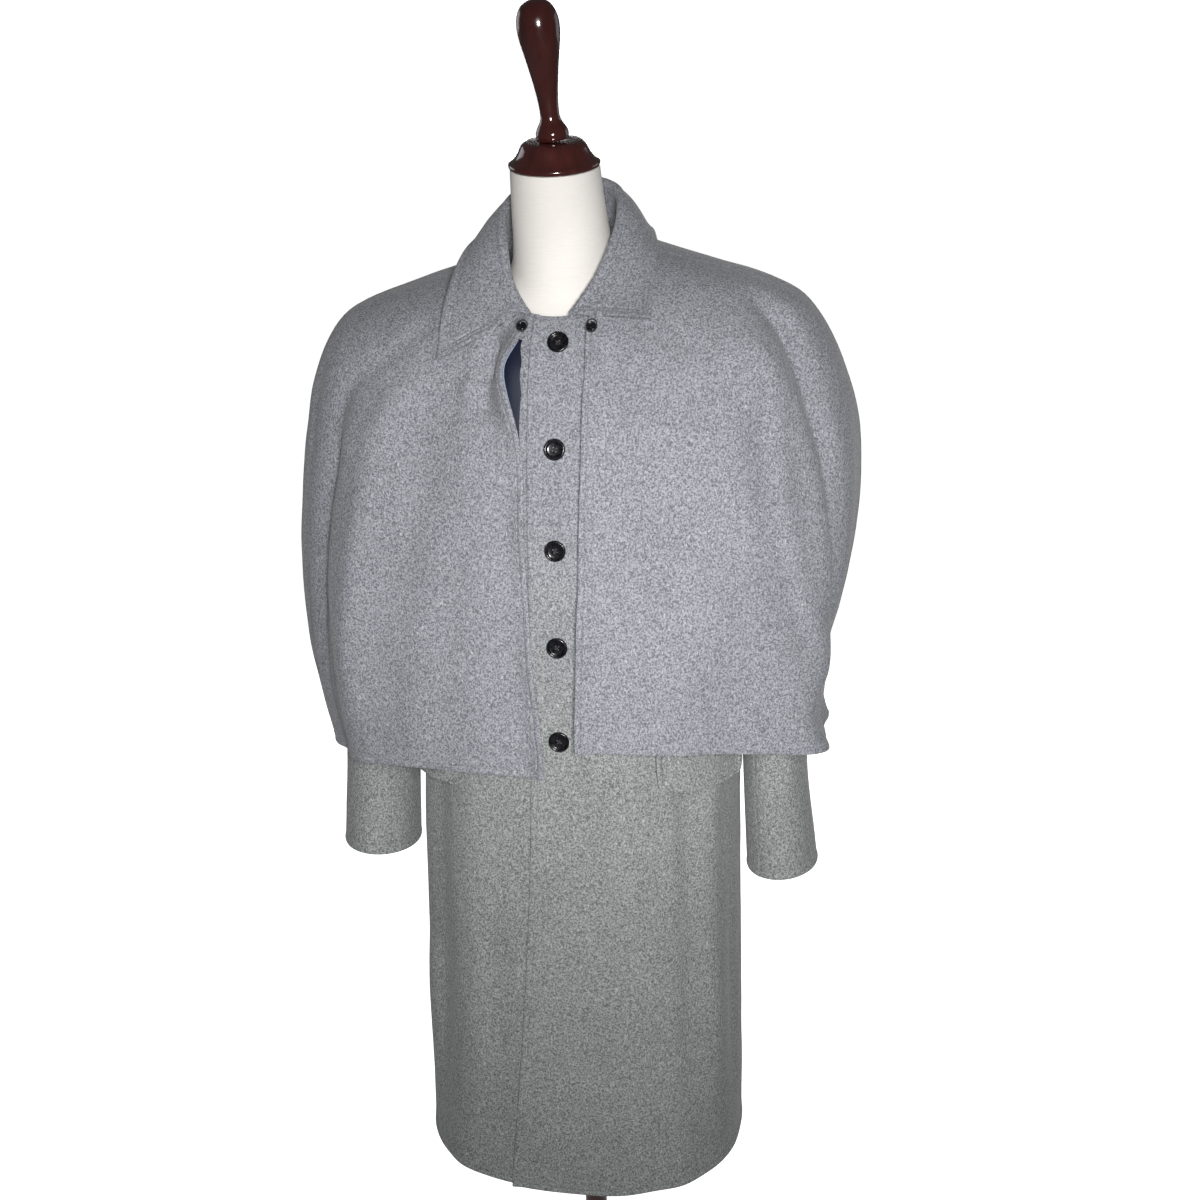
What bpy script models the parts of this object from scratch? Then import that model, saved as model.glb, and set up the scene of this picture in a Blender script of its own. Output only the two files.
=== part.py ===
"""Wool cape coat on a limbless dress form.

The coat and its cape are cloth walls, lofted through rings that go round the body.
A ring has its own height at the front, sides and back, so one table of rings runs from
a hem over the shoulders to a neckline. Metres, +Z up, the coat's front faces -Y and the
wearer's left is +X. The origin is the middle of the base's underside, on the floor.
"""
import math
from collections import namedtuple

import bmesh
import bpy
from mathutils import Matrix, Vector
from mathutils.bvhtree import BVHTree

# ---------------------------------------------------------------- driving dimensions
CLOTH = 0.0025            # wall of the melton cloth
LINING = 0.0010           # wall of the navy lining
LINING_SPACE = 0.0013     # space between it and the cape, whose facets differ a little
SEAM = 0.0006             # space between two pieces along a seam
LAY = 0.0005              # space between a piece and what it lies on
CLEAR = 0.0003            # space between hard pieces that meet

BUTTON_COUNT = 5
BUTTON_TOP_Z = 1.382
BUTTON_PITCH = 0.113
BUTTON_DIAMETER = 0.0245
BUTTON_THICK = 0.0045
BUTTON_LIFT = 0.0011       # a coat button's back stands this far off the lap
CAPE_BUTTON_DIAMETER = 0.014
CAPE_BUTTON_THICK = 0.0028
CAPE_BUTTON_LIFT = 0.0012
CAPE_BUTTON_X = 0.043
CAPE_BUTTON_Z = 1.392

ARMHOLE_Z = 1.300
ARMHOLE_Y = -0.004
ARMHOLE_HALF_HEIGHT = 0.094
ARMHOLE_HALF_DEPTH = 0.068

ARMHOLE_BAR = (0.12, 0.28)  # how far from the middle the bar that cuts an armhole reaches
ARMHOLE_OUT = 0.004        # a sleeve's top edge runs this far outside its armhole

FLAP_Z = (0.862, 0.922)   # lower and upper edge of a pocket flap
FLAP_RING = 4              # the coat's ring that crosses a flap
FLAP_STAND = 0.002         # the lower edge stands this much further off than the upper one
FLAP_INNER_X = 0.106
FLAP_CORNER = 0.020
FLAP_TURN = math.radians(46)

FINIAL_LEAN = math.radians(-4.2)
FINIAL_FOOT_RADIUS = 0.0188
NECK_CAP_RADIUS = 0.0525
NECK_CAP_TOP_RADIUS = 0.0325
NECK_CAP_HEIGHT = 0.029
FINIAL_HEIGHT = 0.151
POLE_RADIUS = 0.016
BASE_RADIUS = 0.205
BASE_HEIGHT = 0.034

Ring = namedtuple("Ring", "front_z side_z back_z left right front back centre_x centre_y square")

# The coat, hem to neckline. left and right are the half widths on the wearer's left (+X)
# and right, front and back the depths, square the superellipse power of the section.
COAT = [
    # front_z side_z back_z  left   right  front  back   centre_x centre_y square
    Ring(0.316, 0.332, 0.322, 0.194, 0.208, 0.150, 0.150, 0.000, 0.000, 2.5),
    Ring(0.450, 0.460, 0.450, 0.193, 0.204, 0.151, 0.149, 0.000, 0.000, 2.5),
    Ring(0.600, 0.600, 0.600, 0.192, 0.199, 0.153, 0.148, 0.000, 0.000, 2.5),
    Ring(0.750, 0.750, 0.750, 0.191, 0.195, 0.155, 0.147, 0.000, 0.000, 2.5),
    Ring(0.900, 0.900, 0.900, 0.190, 0.193, 0.156, 0.145, 0.000, 0.000, 2.5),
    Ring(1.020, 1.020, 1.020, 0.186, 0.186, 0.153, 0.141, 0.000, 0.000, 2.5),
    Ring(1.130, 1.130, 1.130, 0.182, 0.182, 0.149, 0.142, 0.000, 0.000, 2.5),
    Ring(1.210, 1.200, 1.210, 0.181, 0.181, 0.143, 0.145, 0.000, 0.000, 2.5),
    Ring(1.270, 1.275, 1.275, 0.183, 0.183, 0.134, 0.145, 0.000, 0.000, 2.5),
    Ring(1.315, 1.350, 1.330, 0.187, 0.187, 0.124, 0.140, 0.000, 0.000, 2.5),
    Ring(1.345, 1.408, 1.378, 0.188, 0.188, 0.115, 0.130, 0.000, 0.000, 2.5),
    Ring(1.370, 1.432, 1.418, 0.152, 0.152, 0.105, 0.114, -0.002, 0.000, 2.4),
    Ring(1.390, 1.448, 1.450, 0.113, 0.113, 0.094, 0.093, -0.005, 0.000, 2.3),
    Ring(1.407, 1.462, 1.474, 0.078, 0.078, 0.082, 0.070, -0.009, 0.000, 2.2),
]
# How far the lap's free edge stands past the middle, ring by ring, as COAT.
LAP = [
    0.078, 0.065, 0.051, 0.040, 0.033, 0.031, 0.031,
    0.031, 0.031, 0.031, 0.031, 0.031, 0.030, 0.028,
]
UNDERLAP = 0.030           # how far the other front reaches under it
LAP_SPACE = 0.0020         # the two fronts lie this far apart where they lap
LAP_FADE = (0.055, 0.110)  # the over-lapping front comes down to its ring between these

# The cape, neck to hem.
CAPE = [
    # front_z side_z back_z  left   right  front  back   centre_x centre_y square
    Ring(1.403, 1.472, 1.479, 0.081, 0.096, 0.097, 0.084, 0.000, 0.000, 2.2),
    Ring(1.380, 1.461, 1.459, 0.118, 0.132, 0.112, 0.107, 0.000, 0.000, 2.3),
    Ring(1.354, 1.450, 1.430, 0.165, 0.176, 0.124, 0.128, 0.000, 0.000, 2.4),
    Ring(1.324, 1.437, 1.395, 0.214, 0.220, 0.134, 0.146, 0.000, 0.000, 2.5),
    Ring(1.292, 1.419, 1.352, 0.259, 0.265, 0.143, 0.159, 0.000, 0.000, 2.5),
    Ring(1.257, 1.389, 1.302, 0.286, 0.292, 0.150, 0.168, 0.000, 0.000, 2.5),
    Ring(1.217, 1.342, 1.247, 0.309, 0.312, 0.157, 0.175, 0.000, 0.000, 2.4),
    Ring(1.172, 1.280, 1.190, 0.329, 0.325, 0.163, 0.181, 0.000, 0.000, 2.3),
    Ring(1.127, 1.210, 1.135, 0.333, 0.335, 0.168, 0.186, 0.000, 0.000, 2.3),
    Ring(1.080, 1.130, 1.080, 0.328, 0.342, 0.173, 0.190, 0.000, 0.000, 2.3),
    Ring(1.032, 1.055, 1.028, 0.314, 0.342, 0.177, 0.193, 0.000, 0.000, 2.3),
    Ring(0.988, 0.985, 0.978, 0.298, 0.335, 0.180, 0.195, 0.000, 0.000, 2.3),
    Ring(0.953, 0.932, 0.924, 0.292, 0.323, 0.182, 0.197, 0.000, 0.000, 2.3),
    Ring(0.926, 0.893, 0.880, 0.298, 0.310, 0.183, 0.198, 0.000, 0.000, 2.3),
]
# Where the cape's two front edges stand, ring by ring, as CAPE.
CAPE_EDGE_LEFT = [
    0.036, 0.033, 0.034, 0.033, 0.033, 0.032, 0.031,
    0.030, 0.029, 0.027, 0.026, 0.024, 0.023, 0.024,
]
CAPE_EDGE_RIGHT = [
    0.032, 0.040, 0.052, 0.047, 0.038, 0.034, 0.033,
    0.032, 0.030, 0.027, 0.024, 0.019, 0.015, 0.013,
]
CAPE_DROP_RIGHT = (0.026, 0.032)  # the wearer's right hem hangs lower, at its side and corner
SHOULDER_DROP_RIGHT = 0.014  # and its shoulder lies lower
EDGE_LIFT_RIGHT = 0.012    # its front edge curls this far forward below the collar

Fold = namedtuple("Fold", "angle hem_angle spread top hem starts")
# The cape's largest folds: where round the body they run at the neck and at the hem, how
# wide they are, how far they stand out (or in, below zero) at the neck and at the hem, and
# the ring where they start. Angles are in degrees from the front to the wearer's left.
CAPE_FOLDS = [
    Fold(angle=-14, hem_angle=-12, spread=7, top=0.006, hem=0.002, starts=1),
    Fold(angle=-26, hem_angle=-24, spread=6, top=-0.007, hem=-0.002, starts=1),
    Fold(angle=-42, hem_angle=-48, spread=9, top=0.003, hem=0.012, starts=4),
    Fold(angle=-58, hem_angle=-66, spread=8, top=-0.002, hem=-0.009, starts=5),
    Fold(angle=26, hem_angle=36, spread=9, top=-0.002, hem=-0.006, starts=3),
    Fold(angle=44, hem_angle=66, spread=10, top=0.005, hem=0.026, starts=3),
    Fold(angle=76, hem_angle=94, spread=9, top=-0.002, hem=-0.007, starts=6),
    Fold(angle=112, hem_angle=112, spread=10, top=0.002, hem=0.012, starts=5),
    Fold(angle=140, hem_angle=140, spread=9, top=-0.002, hem=-0.009, starts=4),
    Fold(angle=166, hem_angle=166, spread=10, top=0.002, hem=0.012, starts=3),
    Fold(angle=196, hem_angle=196, spread=10, top=-0.002, hem=-0.008, starts=3),
    Fold(angle=222, hem_angle=222, spread=10, top=0.002, hem=0.012, starts=4),
    Fold(angle=248, hem_angle=248, spread=9, top=-0.002, hem=-0.008, starts=5),
]
COAT_FOLDS = [
    Fold(angle=38, hem_angle=38, spread=9, top=0.0, hem=0.004, starts=5),
    Fold(angle=128, hem_angle=128, spread=10, top=0.0, hem=0.006, starts=5),
    Fold(angle=180, hem_angle=180, spread=9, top=0.0, hem=-0.005, starts=5),
    Fold(angle=232, hem_angle=232, spread=10, top=0.0, hem=0.006, starts=5),
    Fold(angle=-40, hem_angle=-40, spread=9, top=0.0, hem=0.004, starts=5),
]

# The dress form, bottom to the top of its neck.
FORM = [
    # front_z side_z back_z  left   right  front  back   centre_x centre_y square
    Ring(0.720, 0.720, 0.720, 0.150, 0.150, 0.110, 0.110, 0.000, 0.000, 2.1),
    Ring(0.735, 0.735, 0.735, 0.162, 0.162, 0.122, 0.120, 0.000, 0.000, 2.1),
    Ring(0.800, 0.800, 0.800, 0.170, 0.170, 0.132, 0.130, 0.000, 0.000, 2.1),
    Ring(0.900, 0.900, 0.900, 0.172, 0.172, 0.134, 0.128, 0.000, 0.000, 2.1),
    Ring(1.000, 1.000, 1.000, 0.158, 0.158, 0.124, 0.114, 0.000, 0.000, 2.1),
    Ring(1.080, 1.080, 1.080, 0.150, 0.150, 0.120, 0.110, 0.000, 0.000, 2.1),
    Ring(1.160, 1.160, 1.160, 0.156, 0.156, 0.128, 0.116, 0.000, 0.000, 2.1),
    Ring(1.240, 1.240, 1.240, 0.165, 0.165, 0.128, 0.124, 0.000, 0.000, 2.2),
    Ring(1.305, 1.320, 1.310, 0.168, 0.168, 0.115, 0.126, 0.000, 0.000, 2.3),
    Ring(1.345, 1.378, 1.360, 0.160, 0.160, 0.104, 0.116, -0.002, 0.000, 2.3),
    Ring(1.368, 1.408, 1.398, 0.130, 0.130, 0.095, 0.100, -0.004, 0.000, 2.3),
    Ring(1.388, 1.428, 1.428, 0.098, 0.098, 0.086, 0.080, -0.007, 0.000, 2.2),
    Ring(1.404, 1.444, 1.452, 0.073, 0.073, 0.076, 0.064, -0.010, 0.000, 2.1),
    Ring(1.425, 1.462, 1.478, 0.060, 0.060, 0.065, 0.052, -0.012, -0.001, 2.0),
    Ring(1.465, 1.490, 1.508, 0.0560, 0.0560, 0.0580, 0.0500, -0.0125, -0.006, 2.0),
    Ring(1.524, 1.534, 1.546, 0.0530, 0.0530, 0.0530, 0.0500, -0.0145, -0.014, 2.0),
    Ring(1.559, 1.568, 1.577, 0.0510, 0.0510, 0.0505, 0.0505, -0.0155, -0.020, 2.0),
]

SleeveRing = namedtuple(
    "SleeveRing", "outer_left outer_right outer_z inner_left inner_right inner_z half_depth centre_y"
)
# The sleeves below their armholes, shoulder to cuff: the outer and inner ends of each ring
# on the wearer's left and right, how far it reaches front and back, and its middle.
SLEEVE = [
    # outer_l outer_r outer_z inner_l inner_r inner_z half_depth centre_y
    SleeveRing(0.222, 0.222, 1.404, 0.190, 0.190, 1.194, 0.074, -0.004),
    SleeveRing(0.254, 0.254, 1.388, 0.190, 0.190, 1.178, 0.079, -0.004),
    SleeveRing(0.281, 0.281, 1.350, 0.190, 0.190, 1.158, 0.080, -0.004),
    SleeveRing(0.298, 0.298, 1.290, 0.190, 0.191, 1.130, 0.078, -0.003),
    SleeveRing(0.306, 0.308, 1.200, 0.190, 0.193, 1.090, 0.074, 0.000),
    SleeveRing(0.300, 0.312, 1.090, 0.192, 0.198, 1.030, 0.069, 0.003),
    SleeveRing(0.281, 0.308, 0.980, 0.195, 0.206, 0.950, 0.065, 0.000),
    SleeveRing(0.276, 0.303, 0.860, 0.199, 0.214, 0.850, 0.061, -0.008),
    SleeveRing(0.292, 0.311, 0.734, 0.205, 0.216, 0.728, 0.060, -0.018),
]
SLEEVE_DROP_LEFT = 0.004   # the wearer's left cuff hangs this much lower
SLEEVE_SEAM = 0.0022       # space between a sleeve's two pieces, on their outer side
SLEEVE_SPACE = 0.0030      # between a sleeve's top edge and the coat round the armhole

CollarStation = namedtuple("CollarStation", "turn fold_x fold_y fold_z edge_x edge_y edge_z")
# The collar, from its wearer's-right front end round the back to the left one: the turn
# round the neck of its seam, the fold's place and the place of the leaf's outer edge.
COLLAR = [
    #             turn  fold_x  fold_y  fold_z  edge_x  edge_y  edge_z
    CollarStation(-22, -0.038, -0.088, 1.419, -0.136, -0.120, 1.380),
    CollarStation(-42, -0.061, -0.071, 1.447, -0.134, -0.084, 1.416),
    CollarStation(-66, -0.075, -0.040, 1.486, -0.127, -0.040, 1.452),
    CollarStation(-92, -0.081, 0.000, 1.518, -0.119, 0.004, 1.474),
    CollarStation(-122, -0.070, 0.042, 1.538, -0.101, 0.062, 1.487),
    CollarStation(-152, -0.044, 0.068, 1.547, -0.060, 0.101, 1.487),
    CollarStation(-180, -0.012, 0.076, 1.550, -0.010, 0.112, 1.487),
    CollarStation(-208, 0.020, 0.068, 1.547, 0.040, 0.101, 1.487),
    CollarStation(-238, 0.046, 0.042, 1.538, 0.077, 0.062, 1.487),
    CollarStation(-268, 0.057, 0.000, 1.518, 0.092, 0.004, 1.478),
    CollarStation(-294, 0.053, -0.040, 1.484, 0.099, -0.040, 1.462),
    CollarStation(-318, 0.038, -0.070, 1.449, 0.102, -0.080, 1.440),
    CollarStation(-340, 0.012, -0.089, 1.418, 0.103, -0.114, 1.419),
]
FOLD_RADIUS = 0.0030       # inside the collar's fold
LEAF_SPACE = 0.0030        # the leaf lies this far off the cape
LEAF_BOW = 0.006           # the leaf arches this much between its fold and its edge
COLLAR_STEPS = 26
STAND_POINTS = 6           # a section's points up the stand and round the fold

# Turned profiles, from the top down the outer side: radius, height.
NECK_CAP_PROFILE = [
    (0.0, NECK_CAP_HEIGHT),
    (NECK_CAP_TOP_RADIUS - 0.002, NECK_CAP_HEIGHT),
    (NECK_CAP_TOP_RADIUS, NECK_CAP_HEIGHT - 0.0015),
    (NECK_CAP_TOP_RADIUS + 0.0075, 0.0175),
    (NECK_CAP_RADIUS - 0.0025, 0.0065),
    (NECK_CAP_RADIUS, 0.0045),
    (NECK_CAP_RADIUS, 0.0020),
    (NECK_CAP_RADIUS - 0.002, 0.0),
    (0.0, 0.0),
]
FINIAL_PROFILE = [
    (0.0, 1.000), (0.0060, 0.997), (0.0115, 0.984), (0.0172, 0.955), (0.0216, 0.905),
    (0.0238, 0.845), (0.0240, 0.790), (0.0227, 0.710), (0.0198, 0.610), (0.0166, 0.500),
    (0.0138, 0.390), (0.0118, 0.290), (0.0110, 0.215), (0.0111, 0.165), (0.0128, 0.125),
    (0.0160, 0.090), (0.0182, 0.060), (0.0188, 0.030), (0.0182, 0.0), (0.0, 0.0),
]
BASE_PROFILE = [
    (0.0, BASE_HEIGHT), (0.030, BASE_HEIGHT), (0.036, 0.030), (0.050, 0.026), (0.150, 0.021),
    (BASE_RADIUS - 0.012, 0.018), (BASE_RADIUS - 0.003, 0.014), (BASE_RADIUS, 0.009),
    (BASE_RADIUS, 0.003), (BASE_RADIUS - 0.003, 0.0), (0.0, 0.0),
]


# ---------------------------------------------------------------- scene and materials
def start_scene():
    """Clear the scene, and make the object's collection and the cutters' one."""
    for old in list(bpy.data.objects):
        bpy.data.objects.remove(old, do_unlink=True)
    collections = []
    for name in ("wool_cape_coat", "cutters"):
        collection = bpy.data.collections.new(name)
        bpy.context.scene.collection.children.link(collection)
        collections.append(collection)
    return collections


PARTS, CUTTERS = start_scene()


def finish(name, colour, roughness, coat=0.0):
    """A Principled material."""
    material = bpy.data.materials.new(name)
    material.use_nodes = True
    shader = material.node_tree.nodes["Principled BSDF"]
    shader.inputs["Base Color"].default_value = (*colour, 1.0)
    shader.inputs["Roughness"].default_value = roughness
    shader.inputs["Metallic"].default_value = 0.0
    shader.inputs["Coat Weight"].default_value = coat
    return material


WOOL = finish("grey_wool", (0.33, 0.34, 0.35), 0.95)
NAVY = finish("navy_lining", (0.02, 0.03, 0.07), 0.6)
HORN = finish("black_horn", (0.012, 0.012, 0.014), 0.25)
LINEN = finish("cream_linen", (0.74, 0.70, 0.64), 0.9)
LACQUER = finish("dark_lacquer", (0.035, 0.012, 0.012), 0.2, coat=0.6)


# ---------------------------------------------------------------- curves and surfaces
def smooth(low, high, value):
    """A soft step, 0 below low and 1 above high."""
    t = min(max((value - low) / (high - low), 0.0), 1.0)
    return t * t * (3.0 - 2.0 * t)


def spread(start, end, count):
    """count + 1 even steps from start to end."""
    return [start + (end - start) * i / count for i in range(count + 1)]


def signed_power(value, power):
    return math.copysign(abs(value) ** power, value)


def between(rows, place):
    """The row at place, on a smooth curve through a table's rows (or its plain numbers)."""
    low = min(int(place), len(rows) - 2)
    t = place - low
    picks = [rows[min(max(low + step, 0), len(rows) - 1)] for step in (-1, 0, 1, 2)]
    single = not isinstance(rows[0], tuple)
    columns = zip(*[(pick,) if single else pick for pick in picks])
    values = [
        b + 0.5 * t * (c - a + t * (2 * a - 5 * b + 4 * c - d + t * (3 * (b - c) + d - a)))
        for a, b, c, d in columns
    ]
    return values[0] if single else type(rows[0])(*values)


def ring_point(ring, turn):
    """The point of a ring at a turn from the front, towards the wearer's left."""
    across, ahead = math.sin(turn), math.cos(turn)
    power = 2.0 / ring.square
    width = ring.left if across > 0 else ring.right
    depth = ring.front if ahead > 0 else ring.back
    tilt = (ring.front_z - ring.back_z) * 0.5
    bow = (ring.front_z + ring.back_z) * 0.5 - ring.side_z
    return Vector((
        ring.centre_x + width * signed_power(across, power),
        ring.centre_y - depth * signed_power(ahead, power),
        ring.side_z + tilt * ahead + bow * ahead * ahead,
    ))


def turn_at_x(ring, x):
    """The turn at which a ring's front half passes x."""
    x -= ring.centre_x
    width = ring.left if x > 0 else ring.right
    return math.copysign(math.asin(min(abs(x) / width, 1.0) ** (ring.square / 2.0)), x)


def fold_depth(folds, place, last, turn):
    """How far the folds move the cloth out at a place along a table, at a turn."""
    depth = 0.0
    for fold in folds:
        centre = fold.angle + (fold.hem_angle - fold.angle) * place / last
        away = (math.degrees(turn) - centre + 180.0) % 360.0 - 180.0
        grown = smooth(fold.starts - 1.0, fold.starts + 1.5, place)
        height = fold.top + (fold.hem - fold.top) * place / last
        depth += grown * height * math.exp(-((away / fold.spread) ** 2))
    return depth


def moved_out(point, middle_y, distance):
    """A point moved level, straight away from the body's middle line."""
    away = Vector((point.x, (point.y - middle_y) * 1.6, 0.0)).normalized()
    return point + away * distance


def coat_point(place, turn):
    """A point on the inside of the coat's cloth; place counts rings up from the hem."""
    point = ring_point(between(COAT, place), turn)
    last = len(COAT) - 1
    return moved_out(point, 0.0, fold_depth(COAT_FOLDS, last - place, last, turn))


def lapped_point(place, turn):
    """As coat_point, lifted off the other front where the two lap."""
    point = coat_point(place, turn)
    lift = (CLOTH + LAP_SPACE) * (1.0 - smooth(*LAP_FADE, point.x))
    return point + Vector((0.0, -lift, 0.0))


def cape_point(place, turn):
    """A point on the inside of the cape's cloth; place counts rings down from the neck."""
    ring = between(CAPE, place)
    last = len(CAPE) - 1
    point = ring_point(ring, turn)
    point = moved_out(point, 0.0, fold_depth(CAPE_FOLDS, place, last, turn))
    side_share = smooth(0.03, 0.16, -point.x)
    point.z -= SHOULDER_DROP_RIGHT * side_share * (1.0 - smooth(5.0, 8.0, place))
    side_drop, corner_drop = CAPE_DROP_RIGHT
    point.z -= side_drop * (place / last) ** 3 * side_share
    if math.sin(turn) < 0 and math.cos(turn) > 0:
        ahead = math.cos(turn) ** 2
        point.z -= (corner_drop - side_drop * side_share) * (place / last) ** 3 * ahead
        lifted = smooth(0.0, 2.0, place) * (1.0 - smooth(2.5, 6.0, place))
        near_edge = 1.0 - smooth(0.045, 0.085, abs(point.x))
        point.y -= EDGE_LIFT_RIGHT * lifted * near_edge
    return point


# ---------------------------------------------------------------- building pieces
def eased(points, start, end, space=SEAM):
    """Draw a grid's first and last columns back from a seam by half its space."""
    for row in points:
        for on, edge, inner in ((start, 0, 1), (end, -1, -2)):
            if on:
                row[edge] = row[edge] + (row[inner] - row[edge]).normalized() * space * 0.5
    return points


def grid_object(name, points, material):
    """An open sheet through a grid of points, its faces outward for columns that run
    from the wearer's right to the left."""
    bm = bmesh.new()
    rows = [[bm.verts.new(point) for point in row] for row in points]
    for low, high in zip(rows, rows[1:]):
        for i in range(len(low) - 1):
            bm.faces.new((low[i], low[i + 1], high[i + 1], high[i]))
    return linked(name, bm, material)


def linked(name, bm, material, collection=None):
    """Make a bmesh an object of the part, shaded smooth."""
    mesh = bpy.data.meshes.new(name)
    bm.normal_update()
    bm.to_mesh(mesh)
    bm.free()
    mesh.shade_smooth()
    mesh.materials.append(material)
    obj = bpy.data.objects.new(name, mesh)
    (collection or PARTS).objects.link(obj)
    return obj


def thicken(obj, wall, side=1.0):
    """Give a sheet its wall, which grows outward from it, or inward where side is -1."""
    solidify = obj.modifiers.new("wall", "SOLIDIFY")
    solidify.thickness = wall
    solidify.offset = side
    solidify.use_even_offset = False
    return obj


def panel(name, surface, places, turns_at, columns, material=WOOL, wall=CLOTH, seams=(True, True)):
    """A cloth panel. places are its rows from the bottom up; turns_at gives a row's first
    and last turn."""
    points = []
    for place in places:
        first, last = turns_at(place)
        points.append([surface(place, turn) for turn in spread(first, last, columns)])
    return thicken(grid_object(name, eased(points, *seams), material), wall)


def evaluated_tree(obj):
    """A search tree of an object as its modifiers leave it."""
    depsgraph = bpy.context.evaluated_depsgraph_get()
    return BVHTree.FromObject(obj, depsgraph)


def turned(name, profile, place, material, steps=32):
    """A turned piece from its radius and height profile, placed by a matrix."""
    bm = bmesh.new()
    verts = [bm.verts.new((radius, 0.0, height)) for radius, height in profile]
    for a, b in zip(verts, verts[1:]):
        bm.edges.new((a, b))
    obj = linked(name, bm, material)
    obj.matrix_world = place
    screw = obj.modifiers.new("turn", "SCREW")
    screw.steps = steps
    screw.render_steps = steps
    screw.use_merge_vertices = True
    screw.merge_threshold = 0.00002
    return obj


# ---------------------------------------------------------------- the coat
SIDE = math.pi / 2.0
COAT_PLACES = list(range(len(COAT)))
FRONT_COLUMNS = 13
BACK_COLUMNS = 18
SLEEVE_SEAM_TURN = math.radians(112)  # where a sleeve's two pieces meet, from its outer side


def front_left_turns(place):
    return turn_at_x(between(COAT, place), -between(LAP, place)), SIDE


def front_right_turns(place):
    return -SIDE, turn_at_x(between(COAT, place), UNDERLAP)


def back_turns(place):
    return SIDE, 3.0 * SIDE


def armhole_point(turn, out):
    """A point on an armhole's oval, as (y, z), out metres outside it."""
    y = ARMHOLE_Y + (ARMHOLE_HALF_DEPTH + out) * math.sin(turn)
    z = ARMHOLE_Z + (ARMHOLE_HALF_HEIGHT + out) * math.cos(turn)
    return y, z


def armhole_cutter(side):
    """An oval bar through the side of the coat, side +1 for the wearer's left."""
    inner, outer = ARMHOLE_BAR
    bm = bmesh.new()
    bmesh.ops.create_cone(bm, cap_ends=True, segments=28, radius1=1.0, radius2=1.0, depth=1.0)
    bm.transform(
        Matrix.Translation((side * (inner + outer) * 0.5, ARMHOLE_Y, ARMHOLE_Z))
        @ Matrix.Diagonal((outer - inner, ARMHOLE_HALF_DEPTH, ARMHOLE_HALF_HEIGHT, 1.0))
        @ Matrix.Rotation(SIDE, 4, "Y")
    )
    cutter = linked("armhole_left" if side > 0 else "armhole_right", bm, WOOL, CUTTERS)
    cutter.hide_render = True
    cutter.display_type = "WIRE"
    return cutter


def cut(obj, cutter):
    boolean = obj.modifiers.new("cut_" + cutter.name, "BOOLEAN")
    boolean.operation = "DIFFERENCE"
    boolean.solver = "EXACT"
    boolean.object = cutter


def build_coat():
    """The coat's body: two fronts that lap and the back. Returns the panels with no
    armholes yet."""
    columns = FRONT_COLUMNS
    left = panel(
        "coat_front_left", lapped_point, COAT_PLACES, front_left_turns, columns, seams=(False, True)
    )
    right = panel(
        "coat_front_right", coat_point, COAT_PLACES, front_right_turns, columns, seams=(True, False)
    )
    back = panel("coat_back", coat_point, COAT_PLACES, back_turns, BACK_COLUMNS)
    return left, right, back


def side_tree(panels):
    """Search trees of the panels, to find the coat's outer side."""
    bpy.context.view_layer.update()
    return [evaluated_tree(obj) for obj in panels]


def side_x(trees, side, y, z):
    """How far out the coat's wall reaches at a height and depth."""
    reach = []
    for tree in trees:
        hit = tree.ray_cast(Vector((side * 0.5, y, z)), Vector((-side, 0.0, 0.0)), 0.45)[0]
        if hit is not None:
            reach.append(abs(hit.x))
    return max(reach)


def sleeve_rows(trees, side):
    """The rings of a sleeve as functions of the turn round it: 0 outside, a quarter turn
    at the front."""
    drop = SLEEVE_DROP_LEFT if side > 0 else 0.0

    def armhole_row(turn):
        y, z = armhole_point(-turn, ARMHOLE_OUT)
        return Vector((side * (side_x(trees, side, y, z) + SLEEVE_SPACE), y, z))

    def ring_row(row, share):
        outer_x = row.outer_left if side > 0 else row.outer_right
        inner_x = row.inner_left if side > 0 else row.inner_right

        def point(turn):
            outer = Vector((side * outer_x, row.centre_y, row.outer_z - drop * share))
            inner = Vector((side * inner_x, row.centre_y, row.inner_z - drop * share))
            middle = (outer + inner) * 0.5
            along = (outer - inner) * 0.5
            ahead = Vector((0.0, -row.half_depth, 0.0))
            return middle + along * math.cos(turn) + ahead * math.sin(turn)
        return point

    last = len(SLEEVE) - 1
    return [armhole_row] + [ring_row(row, i / last) for i, row in enumerate(SLEEVE)]


def build_sleeve(trees, side):
    """A two-piece sleeve: the top piece outside, the under piece against the body."""
    name = "sleeve_left" if side > 0 else "sleeve_right"
    rows = list(reversed(sleeve_rows(trees, side)))
    seam = SLEEVE_SEAM_TURN
    halves = (("top", -seam, seam, 12), ("under", seam, 2.0 * math.pi - seam, 8))
    for part, start, end, columns in halves:
        turns = spread(start, end, columns)
        if side > 0:
            turns.reverse()
        points = eased([[row(turn) for turn in turns] for row in rows], True, True, SLEEVE_SEAM)
        thicken(grid_object(name + "_" + part, points, WOOL), CLOTH, side=-1.0)


# ---------------------------------------------------------------- the cape
CAPE_END = len(CAPE) - 1
CAPE_SEAM = math.radians(94)
CAPE_PLACES = list(reversed(range(len(CAPE))))
CAPE_COLUMNS = 14
CAPE_BACK_COLUMNS = 20
LINED_COLUMNS = 2          # the lining shows this many columns in from each front edge
EDGE_INSET = math.radians(0.4)


def cape_left_turns(place):
    return turn_at_x(between(CAPE, place), between(CAPE_EDGE_LEFT, place)), CAPE_SEAM


def cape_right_turns(place):
    return -CAPE_SEAM, turn_at_x(between(CAPE, place), -between(CAPE_EDGE_RIGHT, place))


def cape_back_turns(place):
    return CAPE_SEAM, 2.0 * math.pi - CAPE_SEAM


def lining_point(place, turn):
    """A point of the lining's inner face, just inside the cape."""
    return moved_out(cape_point(place, turn), 0.0, -(LINING + LINING_SPACE))


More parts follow.
